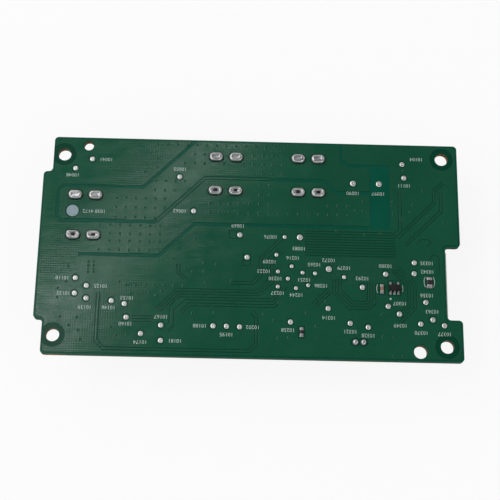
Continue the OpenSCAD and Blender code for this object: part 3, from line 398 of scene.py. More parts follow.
TIN_PLATE = tin_plate()
FINISH = {
    "laminate": board_laminate(),
    "masked_copper": masked_copper(),
    "solder": tin_solder("solder", "A2A3A4", "C6C7C8"),
    "mark": mark_coating(),
    "tinned_brass": tinned_brass(),
    "gilt_pin": gilt(),
    "lead_frame": TIN_PLATE,
    "black_epoxy": moulded_epoxy(),
    "ivory_nylon": ivory_nylon(),
    "can": drawn_aluminium(),
    "base_plastic": black_base(),
    "ferrite": pressed_powder(),
    "shunt_alloy": shunt_strip(),
    "crystal_ceramic": fired_ceramic("crystal_ceramic", "8F8C86", "A3A09A", 0.6),
    "lid_steel": nickel_lid(),
    "resistor_glaze": fired_ceramic("resistor_glaze", "121315", "1C1D20", 0.3),
    "capacitor_ceramic": fired_ceramic("capacitor_ceramic", "7A5B40", "8E6D50", 0.45),
    "chip_metal": TIN_PLATE,
}
INK, SUNK_MASK_AND_SHADE, PAINTED_WELL_SHADE = printed_ink(), sunk_mask_and_shade(), painted_well_shade()
PAD_SOLDER = tin_solder("pad_solder", "C8C9C5", "E5E6E2")
CAN_INK, LASERED = can_ink(), lasered()
SLOT_OF = {part["node"]: part["material_slot"] for part in frame["record"]["subparts"]}


# ---- Shaping ------------------------------------------------------------------------------

# The noise that roughens the solder is the same in every run
noise.seed_set(7)


def piece(name, mesh, slot, finish=None, replaces=(), sharp=30):
    """Makes an object of a bmesh, gives it its finish and lets it ride on the board. Edges
    over the sharp angle, in degrees, stay sharp."""
    data = bpy.data.meshes.new(name)
    mesh.to_mesh(data)
    mesh.free()
    data.shade_smooth()
    data.set_sharp_from_angle(angle=math.radians(sharp))
    made = bpy.data.objects.new(name, data)
    bpy.context.scene.collection.objects.link(made)
    data.materials.append(finish or FINISH[slot])
    if replaces:
        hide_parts(*replaces)
    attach(made, "root")


def merged(node):
    """A bmesh of a node's solids with their loose triangles joined."""
    mesh = bmesh.new()
    mesh.from_mesh(nodes[node].data)
    bmesh.ops.remove_doubles(mesh, verts=mesh.verts, dist=WELD)
    return mesh


def solid_boxes(node):
    """The lowest and highest corner of each separate solid of a node."""
    mesh = merged(node)
    boxes, seen = [], set()
    for first in mesh.verts:
        if first in seen:
            continue
        group, waiting = [], [first]
        seen.add(first)
        while waiting:
            point = waiting.pop()
            group.append(point.co)
            for edge in point.link_edges:
                other = edge.other_vert(point)
                if other not in seen:
                    seen.add(other)
                    waiting.append(other)
        low = Vector([min(p[i] for p in group) for i in range(3)])
        high = Vector([max(p[i] for p in group) for i in range(3)])
        boxes.append((low, high))
    mesh.free()
    return boxes


def middle(box):
    """The middle of a box that is given by its lowest and highest corner."""
    return (box[0] + box[1]) / 2


def rounded(mesh, edges, radius, segments):
    """Rounds edges of a bmesh, as far as their faces have room."""
    bmesh.ops.bevel(
        mesh,
        geom=edges,
        offset=radius,
        offset_type="OFFSET",
        segments=segments,
        profile=0.5,
        affect="EDGES",
        clamp_overlap=True,
        material=-1,
    )


def soften(node, radius_mm, name=None, slot=None, keep=None):
    """A node's solids with their edges rounded, in its own place: all of them, or those that
    a test of a point keeps."""
    mesh = merged(node)
    if keep:
        gone = [v for v in mesh.verts if not keep(v.co)]
        bmesh.ops.delete(mesh, geom=gone, context="VERTS")
    in_one_plane = math.radians(0.5)
    bmesh.ops.dissolve_limit(mesh, angle_limit=in_one_plane, verts=mesh.verts, edges=mesh.edges)
    corner = math.radians(35)
    shared = [e for e in mesh.edges if len(e.link_faces) == 2]
    rounded(mesh, [e for e in shared if e.calc_face_angle(0.0) > corner], radius_mm * MM, 2)
    piece(name or node + "_finished", mesh, slot or SLOT_OF[node], replaces=[node])


def turned(profile, segments=24, stretch=0.0):
    """A small mesh: a profile of (radius, height) points spun round the Z axis, with its
    halves pulled apart along X where it is to be an oval."""
    part = bmesh.new()
    line = [part.verts.new((r, 0, z)) for r, z in profile]
    edges = [part.edges.new(pair) for pair in zip(line, line[1:])]
    bmesh.ops.rotate(part, verts=line, matrix=Matrix.Rotation(math.pi / segments, 3, "Z"))
    bmesh.ops.spin(
        part,
        geom=line + edges,
        axis=(0, 0, 1),
        cent=(0, 0, 0),
        steps=segments,
        angle=2 * math.pi,
        use_merge=True,
    )
    bmesh.ops.remove_doubles(part, verts=part.verts, dist=TOUCH)
    for v in part.verts:
        if abs(v.co.x) > TOUCH:
            v.co.x += math.copysign(stretch / 2, v.co.x)
    bmesh.ops.recalc_face_normals(part, faces=part.faces)
    data = bpy.data.meshes.new("part")
    part.to_mesh(data)
    part.free()
    return data


def put(mesh, part, at, down=False, rough=None):
    """Adds a copy of a small mesh at a point, upright or hanging. Rough is the size and depth
    in millimetres of smooth noise that moves what lies above its foot."""
    foot = SOLDER_TOP + 0.05 * MM
    copy = part.copy()
    turn = Matrix.Rotation(math.pi, 4, "X") if down else Matrix.Identity(4)
    copy.transform(Matrix.Translation(at) @ turn)
    if rough:
        for v in copy.vertices:
            if v.co.z > foot:
                v.co += noise.noise_vector(v.co * per(rough[0])) * rough[1] * MM
    mesh.from_mesh(copy)
    bpy.data.meshes.remove(copy)


def facing(mesh, side):
    """Turns the faces of a flat mesh up, for a side of 1, or down, for a side of -1."""
    for face in mesh.faces:
        if face.normal.z * side < 0:
            face.normal_flip()


def block(mesh, low, high):
    """Adds a closed box between two corners."""
    size = high - low
    matrix = Matrix.Translation(middle((low, high))) @ Matrix.Diagonal((*size, 1))
    bmesh.ops.create_cube(mesh, size=1, matrix=matrix)


# A figure's height as a share of the font's size, and how far its strokes are thinned, as a
# share of its height
FIGURE_SHARE, FIGURE_THINNED = 0.7, 0.009


def figures(mesh, words, at, height, down=False):
    """Adds plain figures as a flat mesh, centred on a point. They face up and are read from
    the far side, or face down and are read from the near side."""
    curve = bpy.data.curves.new("figures", "FONT")
    curve.body = words
    curve.size = height / FIGURE_SHARE
    curve.align_x = "CENTER"
    curve.align_y = "CENTER"
    curve.resolution_u = 2
    curve.offset = -FIGURE_THINNED * height
    holder = bpy.data.objects.new("figures", curve)
    flat = bpy.data.meshes.new_from_object(holder)
    flat.transform(Matrix.Translation(at) @ Matrix.Rotation(math.pi, 4, "Y" if down else "Z"))
    mesh.from_mesh(flat)
    bpy.data.objects.remove(holder)
    bpy.data.curves.remove(curve)
    bpy.data.meshes.remove(flat)


# ---- Solder side ----------------------------------------------------------------------------


# Half section of the solder on a test pad, as parts of its radius and its height: a low dome
# with the pinhole of the filled via in its top
PAD_SECTION = (
    (1.0, 0.0), (1.0, 0.2), (0.96, 0.45), (0.87, 0.72), (0.72, 0.9), (0.52, 1.0), (0.36, 0.98),
    (0.26, 0.88), (0.2, 0.72), (0.0, 0.68),
)


def test_pads():
    """Solder drops on the test pads, each with the pinhole of a filled via on its top."""
    mesh = bmesh.new()
    for low, high in solid_boxes("test_pads"):
        radius, height = (high.x - low.x) / 2, high.z - low.z
        section = [(r * radius, z * height) for r, z in PAD_SECTION]
        centre = middle((low, high))
        at = Vector((centre.x, centre.y, low.z))
        put(mesh, turned(section), at, rough=(0.9, 0.02))
    piece("test_pad_drops", mesh, "solder", PAD_SOLDER, replaces=["test_pads"])


# Radius and height in millimetres along the half section of an oval joint, from its foot to
# its middle: closed over the leg's end, or open in a well over it
CLOSED_JOINT = (
    (1.2, 0.0), (1.2, 0.1), (1.17, 0.35), (1.08, 0.68), (0.95, 0.9), (0.78, 1.02),
    (0.6, 1.05), (0.42, 1.04), (0.28, 1.01), (0.14, 0.99), (0.0, 0.99),
)
OPEN_JOINT = (
    (1.2, 0.0), (1.2, 0.1), (1.17, 0.35), (1.08, 0.68), (0.95, 0.88), (0.8, 0.98),
    (0.62, 1.0), (0.5, 0.95), (0.42, 0.84), (0.38, 0.74), (0.0, 0.72),
)
# A disc of painted shade on the floor of a well: its half section, its height and how far it is
# stretched
WELL_SHADE_SECTION = ((0.4, 0.0), (0.3, 0.03), (0.0, 0.05))
WELL_FLOOR, WELL_STRETCH = 0.75 * MM, 0.4 * MM


def blade_joints():
    """The twelve oval joints of the blades. On every other blade the solder has closed over
    the legs, and on the rest each leg's end lies in a well, darkened by a disc of painted shade."""
    mesh, shade_discs = bmesh.new(), bmesh.new()
    joints = solid_boxes("tab_joints")
    for number in range(1, 7):
        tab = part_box(f"tab_{number}")
        closed = number % 2 == 1
        for joint in joints:
            centre = middle(joint)
            if not tab[0].x < centre.x < tab[1].x or abs(centre.y - middle(tab).y) > MM:
                continue
            at = Vector((centre.x, centre.y, LAMINATE_TOP))
            stretch = (joint[1].x - joint[0].x) - (joint[1].y - joint[0].y)
            section = [(r * MM, z * MM) for r, z in (CLOSED_JOINT if closed else OPEN_JOINT)]
            put(mesh, turned(section, 36, stretch), at, rough=(0.6, 0.08))
            if not closed:
                # A dark disc of painted shade on the floor of the well
                disc_section = [(r * MM, z * MM) for r, z in WELL_SHADE_SECTION]
                over = at + Vector((0, 0, WELL_FLOOR))
                put(shade_discs, turned(disc_section, 20, WELL_STRETCH), over, rough=(0.5, 0.05))
    piece("blade_joints", mesh, "solder", replaces=["tab_joints"], sharp=60)
    piece("painted_shade_in_wells", shade_discs, "base_plastic", PAINTED_WELL_SHADE)


# Half section of a pin's joint over its land, as parts of its radius and its height
PIN_JOINT = ((0.86, 0.5), (0.66, 0.8), (0.45, 1.0), (0.0, 1.0))


def header_joints():
    """The two round joints of the pin header, each drawn up round its pin."""
    mesh = bmesh.new()
    for joint in solid_boxes("header_joints"):
        centre = middle(joint)
        radius = (joint[1].x - joint[0].x) / 2
        rise = joint[1].z - LAMINATE_TOP
        section = [(radius, 0.0), (radius, 0.12 * MM)]
        section += [(r * radius, z * rise) for r, z in PIN_JOINT]
        at = Vector((centre.x, centre.y, LAMINATE_TOP))
        put(mesh, turned(section), at, rough=(0.8, 0.04))
    piece("header_joint_drops", mesh, "solder", replaces=["header_joints"], sharp=60)


# Vias, in millimetres. Rows: height on the board, first place, step and number
VIA_ROWS = (
    (12.1, -33.9, 2.45, 6), (9.6, -33.9, 2.45, 6), (7.0, -33.9, 2.45, 6), (14.4, -26.8, 2.5, 4),
    (17.0, -24.1, 2.45, 4), (16.0, -33.0, 2.4, 3), (26.9, -24.0, 2.5, 14), (24.4, -17.0, 2.5, 11),
    (21.9, -17.0, 2.5, 11), (19.4, 0.4, 2.5, 4), (11.2, -10.3, 2.5, 7), (11.2, 19.5, 2.5, 3),
    (8.8, -10.3, 2.49, 15), (6.4, -10.3, 2.49, 15), (16.3, 2.3, 2.5, 2), (13.8, 2.3, 2.5, 2),
    (4.9, -37.6, 2.5, 7), (2.6, -37.6, 2.5, 7), (0.7, -37.6, 2.5, 7), (-1.65, -37.6, 2.5, 7),
    (-3.8, -34.7, 2.4, 6), (-4.9, -39.9, 1.3, 2), (-5.8, -39.9, 1.3, 2), (-6.7, -39.9, 1.3, 2),
    (-7.5, -39.9, 1.3, 2), (-10.6, -30.3, 2.35, 7), (-27.4, -44.3, 2.5, 3), (-27.4, 10.8, 2.4, 3),
)
# Single ones
VIAS = (
    (-27.0, 19.2), (-24.0, 23.0), (-24.0, 20.6), (28.5, 12.6), (28.5, 10.0), (26.5, 10.1),
    (-13.6, 2.0), (-29.0, -12.6), (-24.5, -12.4), (-22.8, -13.1), (-21.5, -12.1), (-32.0, -9.9),
    (-47.0, -11.8), (-47.0, -14.1), (-46.1, -19.0), (-45.1, -10.1), (-44.9, -6.1), (-42.0, -19.1),
    (-41.5, -22.2), (-40.8, -24.5), (-43.8, -21.1), (-36.3, -25.1), (-33.6, -21.3),
    (-32.2, -23.4), (-29.6, -23.2), (-11.3, -4.5), (-11.2, -6.7), (-14.0, -6.7), (-8.2, -4.8),
    (-19.0, -3.7), (-13.7, -17.4), (-8.4, -17.2), (-10.7, -9.5), (-4.3, -9.0), (21.7, 4.6),
    (24.2, 4.7), (28.7, 3.8), (32.6, 4.1), (36.0, 12.6), (36.7, 11.1), (38.5, 11.0), (36.0, 9.4),
    (41.0, 12.0), (40.3, 10.0), (40.5, 7.9), (38.3, 8.0), (42.7, 7.0), (43.7, 15.8), (48.7, 7.1),
    (38.8, 21.1), (44.9, 9.0), (6.2, -18.8), (3.7, -17.4), (14.2, -16.8), (7.4, -14.2),
    (16.6, -20.1), (16.7, -23.2), (9.8, -23.0), (7.3, -23.2), (32.9, -22.4), (35.6, -22.5),
    (35.4, -27.2), (37.7, -27.1), (32.7, -16.8), (19.0, -13.8),
)
VIA_R, VIA_RISE = 0.33 * MM, 0.045 * MM
# Half sections of a via's ring and of the pit in it, as parts of its radius and its rise
VIA_RING = ((1.25, 0.0), (1.0, 0.75), (0.75, 1.0), (0.6, 0.8))
VIA_PIT = ((0.65, 0.85), (0.3, 0.3), (0.0, 0.3))


def all_faces():
    """A tree of the faces of all nodes, for finding what lies at a place on the plan."""
    points, faces = [], []
    for node in nodes.values():
        first = len(points)
        points += [v.co for v in node.data.vertices]
        faces += [[first + i for i in f.vertices] for f in node.data.polygons]
    return BVHTree.FromPolygons(points, faces)


def outermost(everything, x, y, down=False):
    """Height of the first face that a ray from above meets, or from below for down."""
    start, way = (CLEAR_BELOW, 1) if down else (CLEAR_ABOVE, -1)
    hit = everything.ray_cast(Vector((x, y, start)), Vector((0, 0, way)))[0]
    return hit.z if hit else math.inf


def vias():
    """Plated holes under the mask: a low ring round a sunken pit, on both sides of the board
    where nothing else stands."""
    places = list(VIAS)
    for y, first, step, number in VIA_ROWS:
        places += [(first + step * i, y) for i in range(number)]
    everything = all_faces()
    ring = turned([(r * VIA_R, z * VIA_RISE) for r, z in VIA_RING], 12)
    pit = turned([(r * VIA_R, z * VIA_RISE) for r, z in VIA_PIT], 12)
    rings, pits = bmesh.new(), bmesh.new()
    room = 1.5 * VIA_R
    around = ((0, 0), (room, 0), (-room, 0), (0, room), (0, -room))
    for x, y in places:
        for down, level in ((False, SOLDER_TOP), (True, COMPONENT_LOW)):
            at = Vector((x * MM, y * MM, level))
            found = [outermost(everything, at.x + dx, at.y + dy, down) for dx, dy in around]
            if all(abs(z - level) <= 0.01 * MM for z in found):
                put(rings, ring, at, down)
                put(pits, pit, at, down)
    piece("via_rings", rings, "masked_copper")
    # The pits carry painted shade
    piece("via_pits", pits, "masked_copper", SUNK_MASK_AND_SHADE)


# The bundle of traces on the right: its ends, its lowest gap, and the gaps' pitch and width
BUS_ENDS, BUS_LOWEST = (13.6 * MM, 36.4 * MM), -2.6 * MM
BUS_PITCH, BUS_GAP, BUS_GAPS = 0.7 * MM, 0.25 * MM, 10
# How far under the copper's top a gap is filled, and how far over it a gap is drawn
BUS_SKIN = 0.002 * MM


def bus():
    """The gaps of the bundle on the right. Those that the solids have under it are filled
    nearly to the copper's top, and it runs above them as flat strips of mask sunk between
    its traces, with painted shade of the grooves."""
    everything = all_faces()
    filled, gaps = bmesh.new(), bmesh.new()
    half, step = BUS_GAP / 2, 0.1 * MM

    def strip(mesh, y, floor, top):
        """Blocks along a gap, wherever its floor is bare and copper lies on both sides."""
        run = []
        x = BUS_ENDS[0]
        while x < BUS_ENDS[1] + step:
            sides = [outermost(everything, x, y + side * (half + step)) for side in (-1, 1)]
            bare = abs(outermost(everything, x, y) - floor) < TOUCH
            if x < BUS_ENDS[1] and bare and all(abs(z - SOLDER_TOP) < TOUCH for z in sides):
                run.append(x)
            elif run:
                low = Vector((run[0], y - half, floor - TOUCH))
                block(mesh, low, Vector((run[-1], y + half, top)))
                run = []
            x += step

    for k in range(BUS_GAPS):
        strip(filled, BUS_LOWEST - k * BUS_PITCH, LAMINATE_TOP, SOLDER_TOP - BUS_SKIN)
        strip(gaps, BUS_LOWEST + (k + 1) * BUS_PITCH, SOLDER_TOP, SOLDER_TOP + BUS_SKIN)
    piece("bus_traces", filled, "masked_copper", sharp=20)
    # The drawn gaps carry painted shade of the grooves
    piece("bus_gaps", gaps, "masked_copper", SUNK_MASK_AND_SHADE, sharp=20)


# Where the figures of each test pad stand: the pad's place, then theirs from it
LEFT, RIGHT, ABOVE, BELOW = (-3.5, 0), (3.5, 0), (0, 2.15), (0, -2.05)
PAD_FIGURES = (
    (-40.4, 22.4, RIGHT), (-44.5, 19.8, (-0.6, -1.8)), (-18.1, 18.1, ABOVE), (-14.3, 9.0, LEFT),
    (-2.6, 3.0, (-0.5, 2.4)), (8.6, 2.7, LEFT), (12.4, 2.7, (-0.2, -2.9)), (25.8, 17.4, (0, -2.6)),
    (32.4, 17.4, (-0.2, -2.6)), (38.4, 22.9, (3.7, 1.5)), (38.8, 19.2, BELOW),
    (-42.8, -9.1, (-3.2, 0)), (-40.0, -11.0, RIGHT), (-42.8, -13.0, (-2.7, 0)),
    (-39.9, -14.2, (-0.2, -2.2)), (-33.7, -14.7, (-0.6, -1.7)), (-30.5, -15.4, (0.6, 1.5)),
    (-29.9, -18.8, (-0.1, -1.6)), (-21.4, -20.6, ABOVE), (-26.2, -22.8, BELOW),
    (-21.3, -24.4, RIGHT), (-8.7, -20.5, (-3.2, 0)), (-5.4, -20.5, BELOW), (-2.2, -20.6, (3.2, 0)),
    (6.6, -2.0, (-1.7, -1.8)), (10.4, -4.9, (0.3, 2.2)), (7.0, -6.3, LEFT), (9.5, -8.1, (-3.1, 0)),
    (7.0, -10.2, (0, -1.6)), (11.5, -10.5, (0.1, -1.7)), (13.1, -6.5, (0.4, -1.8)),
    (10.2, -19.1, (-0.6, -2.0)), (16.2, -6.6, (-0.2, 2.3)), (19.6, -5.4, (0, 2.3)),
    (23.4, -7.4, (0, 2.4)), (14.5, -9.7, (3.2, 0)), (27.9, -9.9, (0, 2.3)), (33.7, -6.4, ABOVE),
    (34.2, -14.6, (2.9, 0.8)), (19.4, -15.5, (0.2, -2.3)), (24.8, -19.1, BELOW),
    (29.2, -20.0, BELOW), (40.9, -3.3, (3.1, 0)), (40.8, -6.1, (3.3, 0.6)), (36.9, -16.5, (0.2, -2.9)),
    (43.5, -13.4, (0.3, 1.8)), (45.1, -17.8, (-0.1, 2.1)), (42.1, -18.9, (0.1, -2.2)),
    (47.9, -19.2, (0, -2.1)),
)
FIRST_FIGURE, FIGURE_STEP = 10041, 7
FIGURE_H = 0.95 * MM
INK_T = 0.012 * MM
ARC_W, OUTLINE_W = 0.14 * MM, 0.15 * MM
# Printed arcs beside the small parts: centre and radius in millimetres, then the arc's middle
# and half its reach in degrees
BRACKETS = (
    (42.9, -8.15, 2.9, 0, 27), (46.1, -8.15, 2.9, 180, 27), (33.4, -10.2, 2.0, 180, 30),
    (35.5, -10.0, 2.4, 0, 20),
)
# The spot beside the driver's first pin: its place in millimetres, and its radius
PIN_SPOT, PIN_SPOT_R = (34.8, -12.7), 0.24 * MM
# How far right of the round mark its figures stand
MARK_SHIFT = 5.4 * MM


def bracket(mesh, centre, radius, start, end):
    """A printed arc: a stroke of ink spun round a point from one angle to another."""
    out = Vector((math.cos(start), math.sin(start), 0))
    first = [mesh.verts.new(centre + out * (radius + side * ARC_W / 2)) for side in (-1, 1)]
    edge = mesh.edges.new(first)
    bmesh.ops.spin(
        mesh, geom=first + [edge], axis=(0, 0, 1), cent=centre, steps=10, angle=end - start
    )


def solder_side_print():
    """Figures beside the test pads and brackets round the small parts, in thin ink."""
    mesh = bmesh.new()
    level = SOLDER_TOP + INK_T
    for number, (x, y, shift) in enumerate(PAD_FIGURES):
        at = Vector(((x + shift[0]) * MM, (y + shift[1]) * MM, level))
        figures(mesh, str(FIRST_FIGURE + FIGURE_STEP * number), at, FIGURE_H)
    mark = middle(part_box("reject_mark"))
    figures(mesh, "1038 4172", Vector((mark.x + MARK_SHIFT, mark.y, level)), FIGURE_H)
    spot = Matrix.Translation((PIN_SPOT[0] * MM, PIN_SPOT[1] * MM, level))
    bmesh.ops.create_circle(mesh, cap_ends=True, segments=20, radius=PIN_SPOT_R, matrix=spot)
    for x, y, radius, turn, reach in BRACKETS:
        start, end = math.radians(turn - reach), math.radians(turn + reach)
        bracket(mesh, Vector((x * MM, y * MM, level)), radius * MM, start, end)
    facing(mesh, 1)
    piece("solder_side_print", mesh, "mark", INK, sharp=80)


def pillows(name, boxes, rise, down):
    """Solder that has wetted each land and climbs round the foot on it: a low cushion."""
    mesh = bmesh.new()
    side = -1 if down else 1
    up, still = Vector((0, 0, side * rise)), Vector()
    for low, high in boxes:
        block(mesh, low + (up if down else still), high + (still if down else up))
    tops = {f for f in mesh.faces if f.normal.z * side > 0.5}
    rounded(mesh, [e for e in mesh.edges if tops.intersection(e.link_faces)], 0.11 * MM, 3)
    piece(name, mesh, "solder", sharp=60)


# ---- Component side -------------------------------------------------------------------------


def lands_alone(node):
    """The lands of a node that a part's foot stands on: those with no leg through them."""
    tabs = [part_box(f"tab_{i}") for i in range(1, 7)] + [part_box("header_pins")]
    free = []
    for box in solid_boxes(node):
        centre = middle(box)
        inside = any(
            t[0].x - MM < centre.x < t[1].x + MM and t[0].y - MM < centre.y < t[1].y + MM
            for t in tabs
        )
        if not inside:
            free.append(box)
    return free


# The groove rolled into a can over its base: heights and depths in millimetres
GROOVE = ((2.35, 0), (2.6, 0.1), (2.8, 0.3), (3.0, 0.38), (3.2, 0.3), (3.4, 0.1), (3.65, 0))
# The radius of the shoulder at a can's top
SHOULDER_R = 0.7 * MM
# The can's top lies this far under its rim, and the print just over it
TOP_SUNK, PRINT_SUNK = 0.09 * MM, 0.07 * MM


def capacitor_cans():
    """Drawn cans: a rolled groove over the base, a rounded shoulder and a top that lies a
    little under its rim, with a printed black segment and plain figures on it."""
    cans, print_black = bmesh.new(), bmesh.new()
    for number in range(1, 4):
        low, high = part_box(f"capacitor_can_{number}")
        radius, height = (high.x - low.x) / 2, high.z - low.z
        section = [(0.0, 0.0), (radius * 0.97, 0.0), (radius, 0.12 * MM)]
        section += [(radius - inwards * MM, z * MM) for z, inwards in GROOVE]
        for i in range(6):
            turn = math.pi / 2 * i / 5
            inwards, under = SHOULDER_R * (1 - math.cos(turn)), SHOULDER_R * (1 - math.sin(turn))
            section.append((radius - inwards, height - under))
        top = height - TOP_SUNK
        section += [(radius * 0.79, height - 0.02 * MM), (radius * 0.77, top), (0.0, top)]
        centre = middle((low, high))
        put(cans, turned(section, 64), Vector((centre.x, centre.y, high.z)), down=True)
        # The segment that marks the negative pole is cut from a disc
        level = low.z + PRINT_SUNK
        hanging = Matrix.Translation((centre.x, centre.y, level)) @ Matrix.Rotation(math.pi, 4, "X")
        disc = bmesh.ops.create_circle(
            print_black, cap_ends=True, segments=64, radius=radius * 0.75, matrix=hanging
        )["verts"]
        sheet = disc[0].link_faces[0]
        bmesh.ops.bisect_plane(
            print_black,
            geom=[sheet, *sheet.edges, *disc],
            plane_co=(centre.x - radius * 0.42, centre.y, level),
            plane_no=(1, 0, 0),
            clear_outer=True,
        )
        for line, words in enumerate(("220", "35", "0417")):
            at = Vector((centre.x + 0.6 * MM, centre.y + 1.5 * (1 - line) * MM, level))
            figures(print_black, words, at, FIGURE_H, down=True)
    names = [f"capacitor_can_{i}" for i in range(1, 4)]
    piece("capacitor_cans", cans, "can", replaces=names, sharp=40)
    piece("capacitor_print", print_black, "base_plastic", CAN_INK, sharp=80)


# What has a printed outline, and how far outside it the line runs, in millimetres
OUTLINES = {
    **{f"capacitor_base_{i}": 0.35 for i in range(1, 4)},
    "coil_body": 0.4,
    "controller_body": 1.9,
    "connector_housing": 0.9,
    "header_housing": 0.3,
    "regulator_body": 1.7,
    "clamp_diode_body": 1.5,
    "crystal_base": 0.4,
    "shunt": 0.9,
    **{f"power_transistor_{i}": 1.6 for i in range(1, 5)},
}
# The same for the parts of a node that holds several
GROUP_OUTLINES = {"gate_driver_bodies": 1.45, "small_transistor_bodies": 1.45}


def outline(mesh, box, margin):
    """A printed rectangle round a box: a sheet with its middle cut out."""
    centre, size = middle(box), box[1] - box[0]
    centre.z = COMPONENT_LOW - INK_T
    stretched = Matrix.Diagonal((size.x + 2 * margin, size.y + 2 * margin, 1, 1))
    matrix = Matrix.Translation(centre) @ stretched
    made = bmesh.ops.create_grid(mesh, x_segments=1, y_segments=1, size=0.5, matrix=matrix)
    face = made["verts"][0].link_faces[0]
    bmesh.ops.inset_region(
        mesh, faces=[face], thickness=OUTLINE_W, use_boundary=True, use_even_offset=True
    )
    bmesh.ops.delete(mesh, geom=[face], context="FACES")


def component_side_print():
    """Outlines round the parts of the component side."""
    mesh = bmesh.new()
    for name, margin in OUTLINES.items():
        outline(mesh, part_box(name), margin * MM)
    for name, margin in GROUP_OUTLINES.items():
        for box in solid_boxes(name):
            outline(mesh, box, margin * MM)
    facing(mesh, -1)
    piece("component_side_print", mesh, "mark", INK, sharp=80)


# Rows of figures on single packages
PACKAGE_ROWS = {
    "controller_body": ("4410", "0732 16", "2081"),
    "regulator_body": ("5050",),
    "clamp_diode_body": ("36",),
    "coil_body": ("220",),
    "crystal_lid": ("8.000",),
    **{f"power_transistor_{i}": ("4060", "17 22") for i in range(1, 5)},
}
# Figures on each part of a node that holds several, and their height in millimetres
GROUP_FIGURES = {
    "gate_driver_bodies": ("2104", 0.9),
    "small_transistor_bodies": ("72", 0.8),
    "resistor_bodies": ("103", 0.4),
}
LASER_LIFT = 0.008 * MM


def package_figures():
    """Plain figures that a laser has marked on the packages and chips."""
    mesh = bmesh.new()

    def mark(box, words, height, shift=0.0):
        """Figures on the low face of a box, moved along Y from its middle."""
        at = middle(box) + Vector((0, shift, 0))
        at.z = box[0].z - LASER_LIFT
        figures(mesh, words, at, height, down=True)

    for name, rows in PACKAGE_ROWS.items():
        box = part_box(name)
        height = min((box[1] - box[0]).xy) * (0.14 if len(rows) > 1 else 0.3)
        for i, words in enumerate(rows):
            mark(box, words, height, ((len(rows) - 1) / 2 - i) * height * 1.7)
    for name, (words, height) in GROUP_FIGURES.items():
        for box in solid_boxes(name):
            mark(box, words, height * MM)
    piece("package_figures", mesh, "mark", LASERED, sharp=80)


# ---- All of it, on the board ----------------------------------------------------------------


for name, made in nodes.items():
    made.data.materials.clear()
    made.data.materials.append(FINISH[SLOT_OF[name]])

test_pads()
blade_joints()
header_joints()
vias()
bus()
solder_side_print()
pillows("solder_side_solder", solid_boxes("solder_side_lands"), 0.16 * MM, down=False)
# Under the widest lands the solder stays flat
small_lands = [b for b in lands_alone("component_side_lands") if b[1].x - b[0].x < 5 * MM]
pillows("component_side_solder", small_lands, 0.09 * MM, down=True)
capacitor_cans()
component_side_print()
package_figures()

# Radius in millimetres to which the edges of each node are rounded
ROUNDED = {
    "header_housing": 0.12,
    "connector_housing": 0.12,
    "connector_brackets": 0.06,
    "controller_body": 0.08,
    "driver_body": 0.05,
    "coil_body": 0.25,
    "coil_ends": 0.06,
    "regulator_body": 0.07,
    "gate_driver_bodies": 0.07,
    "clamp_diode_body": 0.08,
    "clamp_diode_leads": 0.05,
    "small_transistor_bodies": 0.05,
    "shunt": 0.08,
    "crystal_base": 0.06,
    "crystal_lid": 0.1,
    "resistor_bodies": 0.04,
    "capacitor_chips": 0.06,
    "resistor_ends": 0.05,
    "capacitor_chip_ends": 0.07,
    "solder_side_chip_ends": 0.06,
    **{f"tab_{i}": 0.06 for i in range(1, 7)},
    **{f"capacitor_base_{i}": 0.12 for i in range(1, 4)},
    **{f"power_transistor_{i}": 0.12 for i in range(1, 5)},
    **{f"power_transistor_metal_{i}": 0.06 for i in range(1, 5)},
}
for name, radius in ROUNDED.items():
    soften(name, radius)


def near_driver(point):
    """Whether a point of a chip belongs to the one beside the driver, a capacitor."""
    return abs(point.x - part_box("driver_body")[0].x) < 4 * MM


CHIPS, CHIP_ROUNDED = "solder_side_chips", 0.05
soften(CHIPS, CHIP_ROUNDED, "solder_side_resistors", keep=lambda p: not near_driver(p))
soften(CHIPS, CHIP_ROUNDED, "solder_side_capacitor", "capacitor_ceramic", keep=near_driver)


# ---- Stage, lamps and camera -------------------------------------------------------------

# The floor's radius, the radius of its turn into the wall, and the wall's height, in metres
STAGE_R, TURN_R, WALL_H = 1.5, 0.3, 0.6
TURN_STEPS = 6
# How much of the backdrop's paleness the camera and mirrors see as plain white
BACKDROP_WHITE = 0.88
# Light from the walls and from overhead, and the heights of the direction between which it fades
ROOM_WALLS, ROOM_ABOVE = 1.0, 0.12
FADE_FROM, FADE_TO = 0.35, 0.8
# Camera: its place and what it looks at in millimetres, its roll in degrees and its lens
CAMERA_AT, CAMERA_AIM = (-4.84, -88.55, 288.09), (0.0, -0.91, 12.15)
CAMERA_ROLL, CAMERA_LENS = 4.33, 83.86


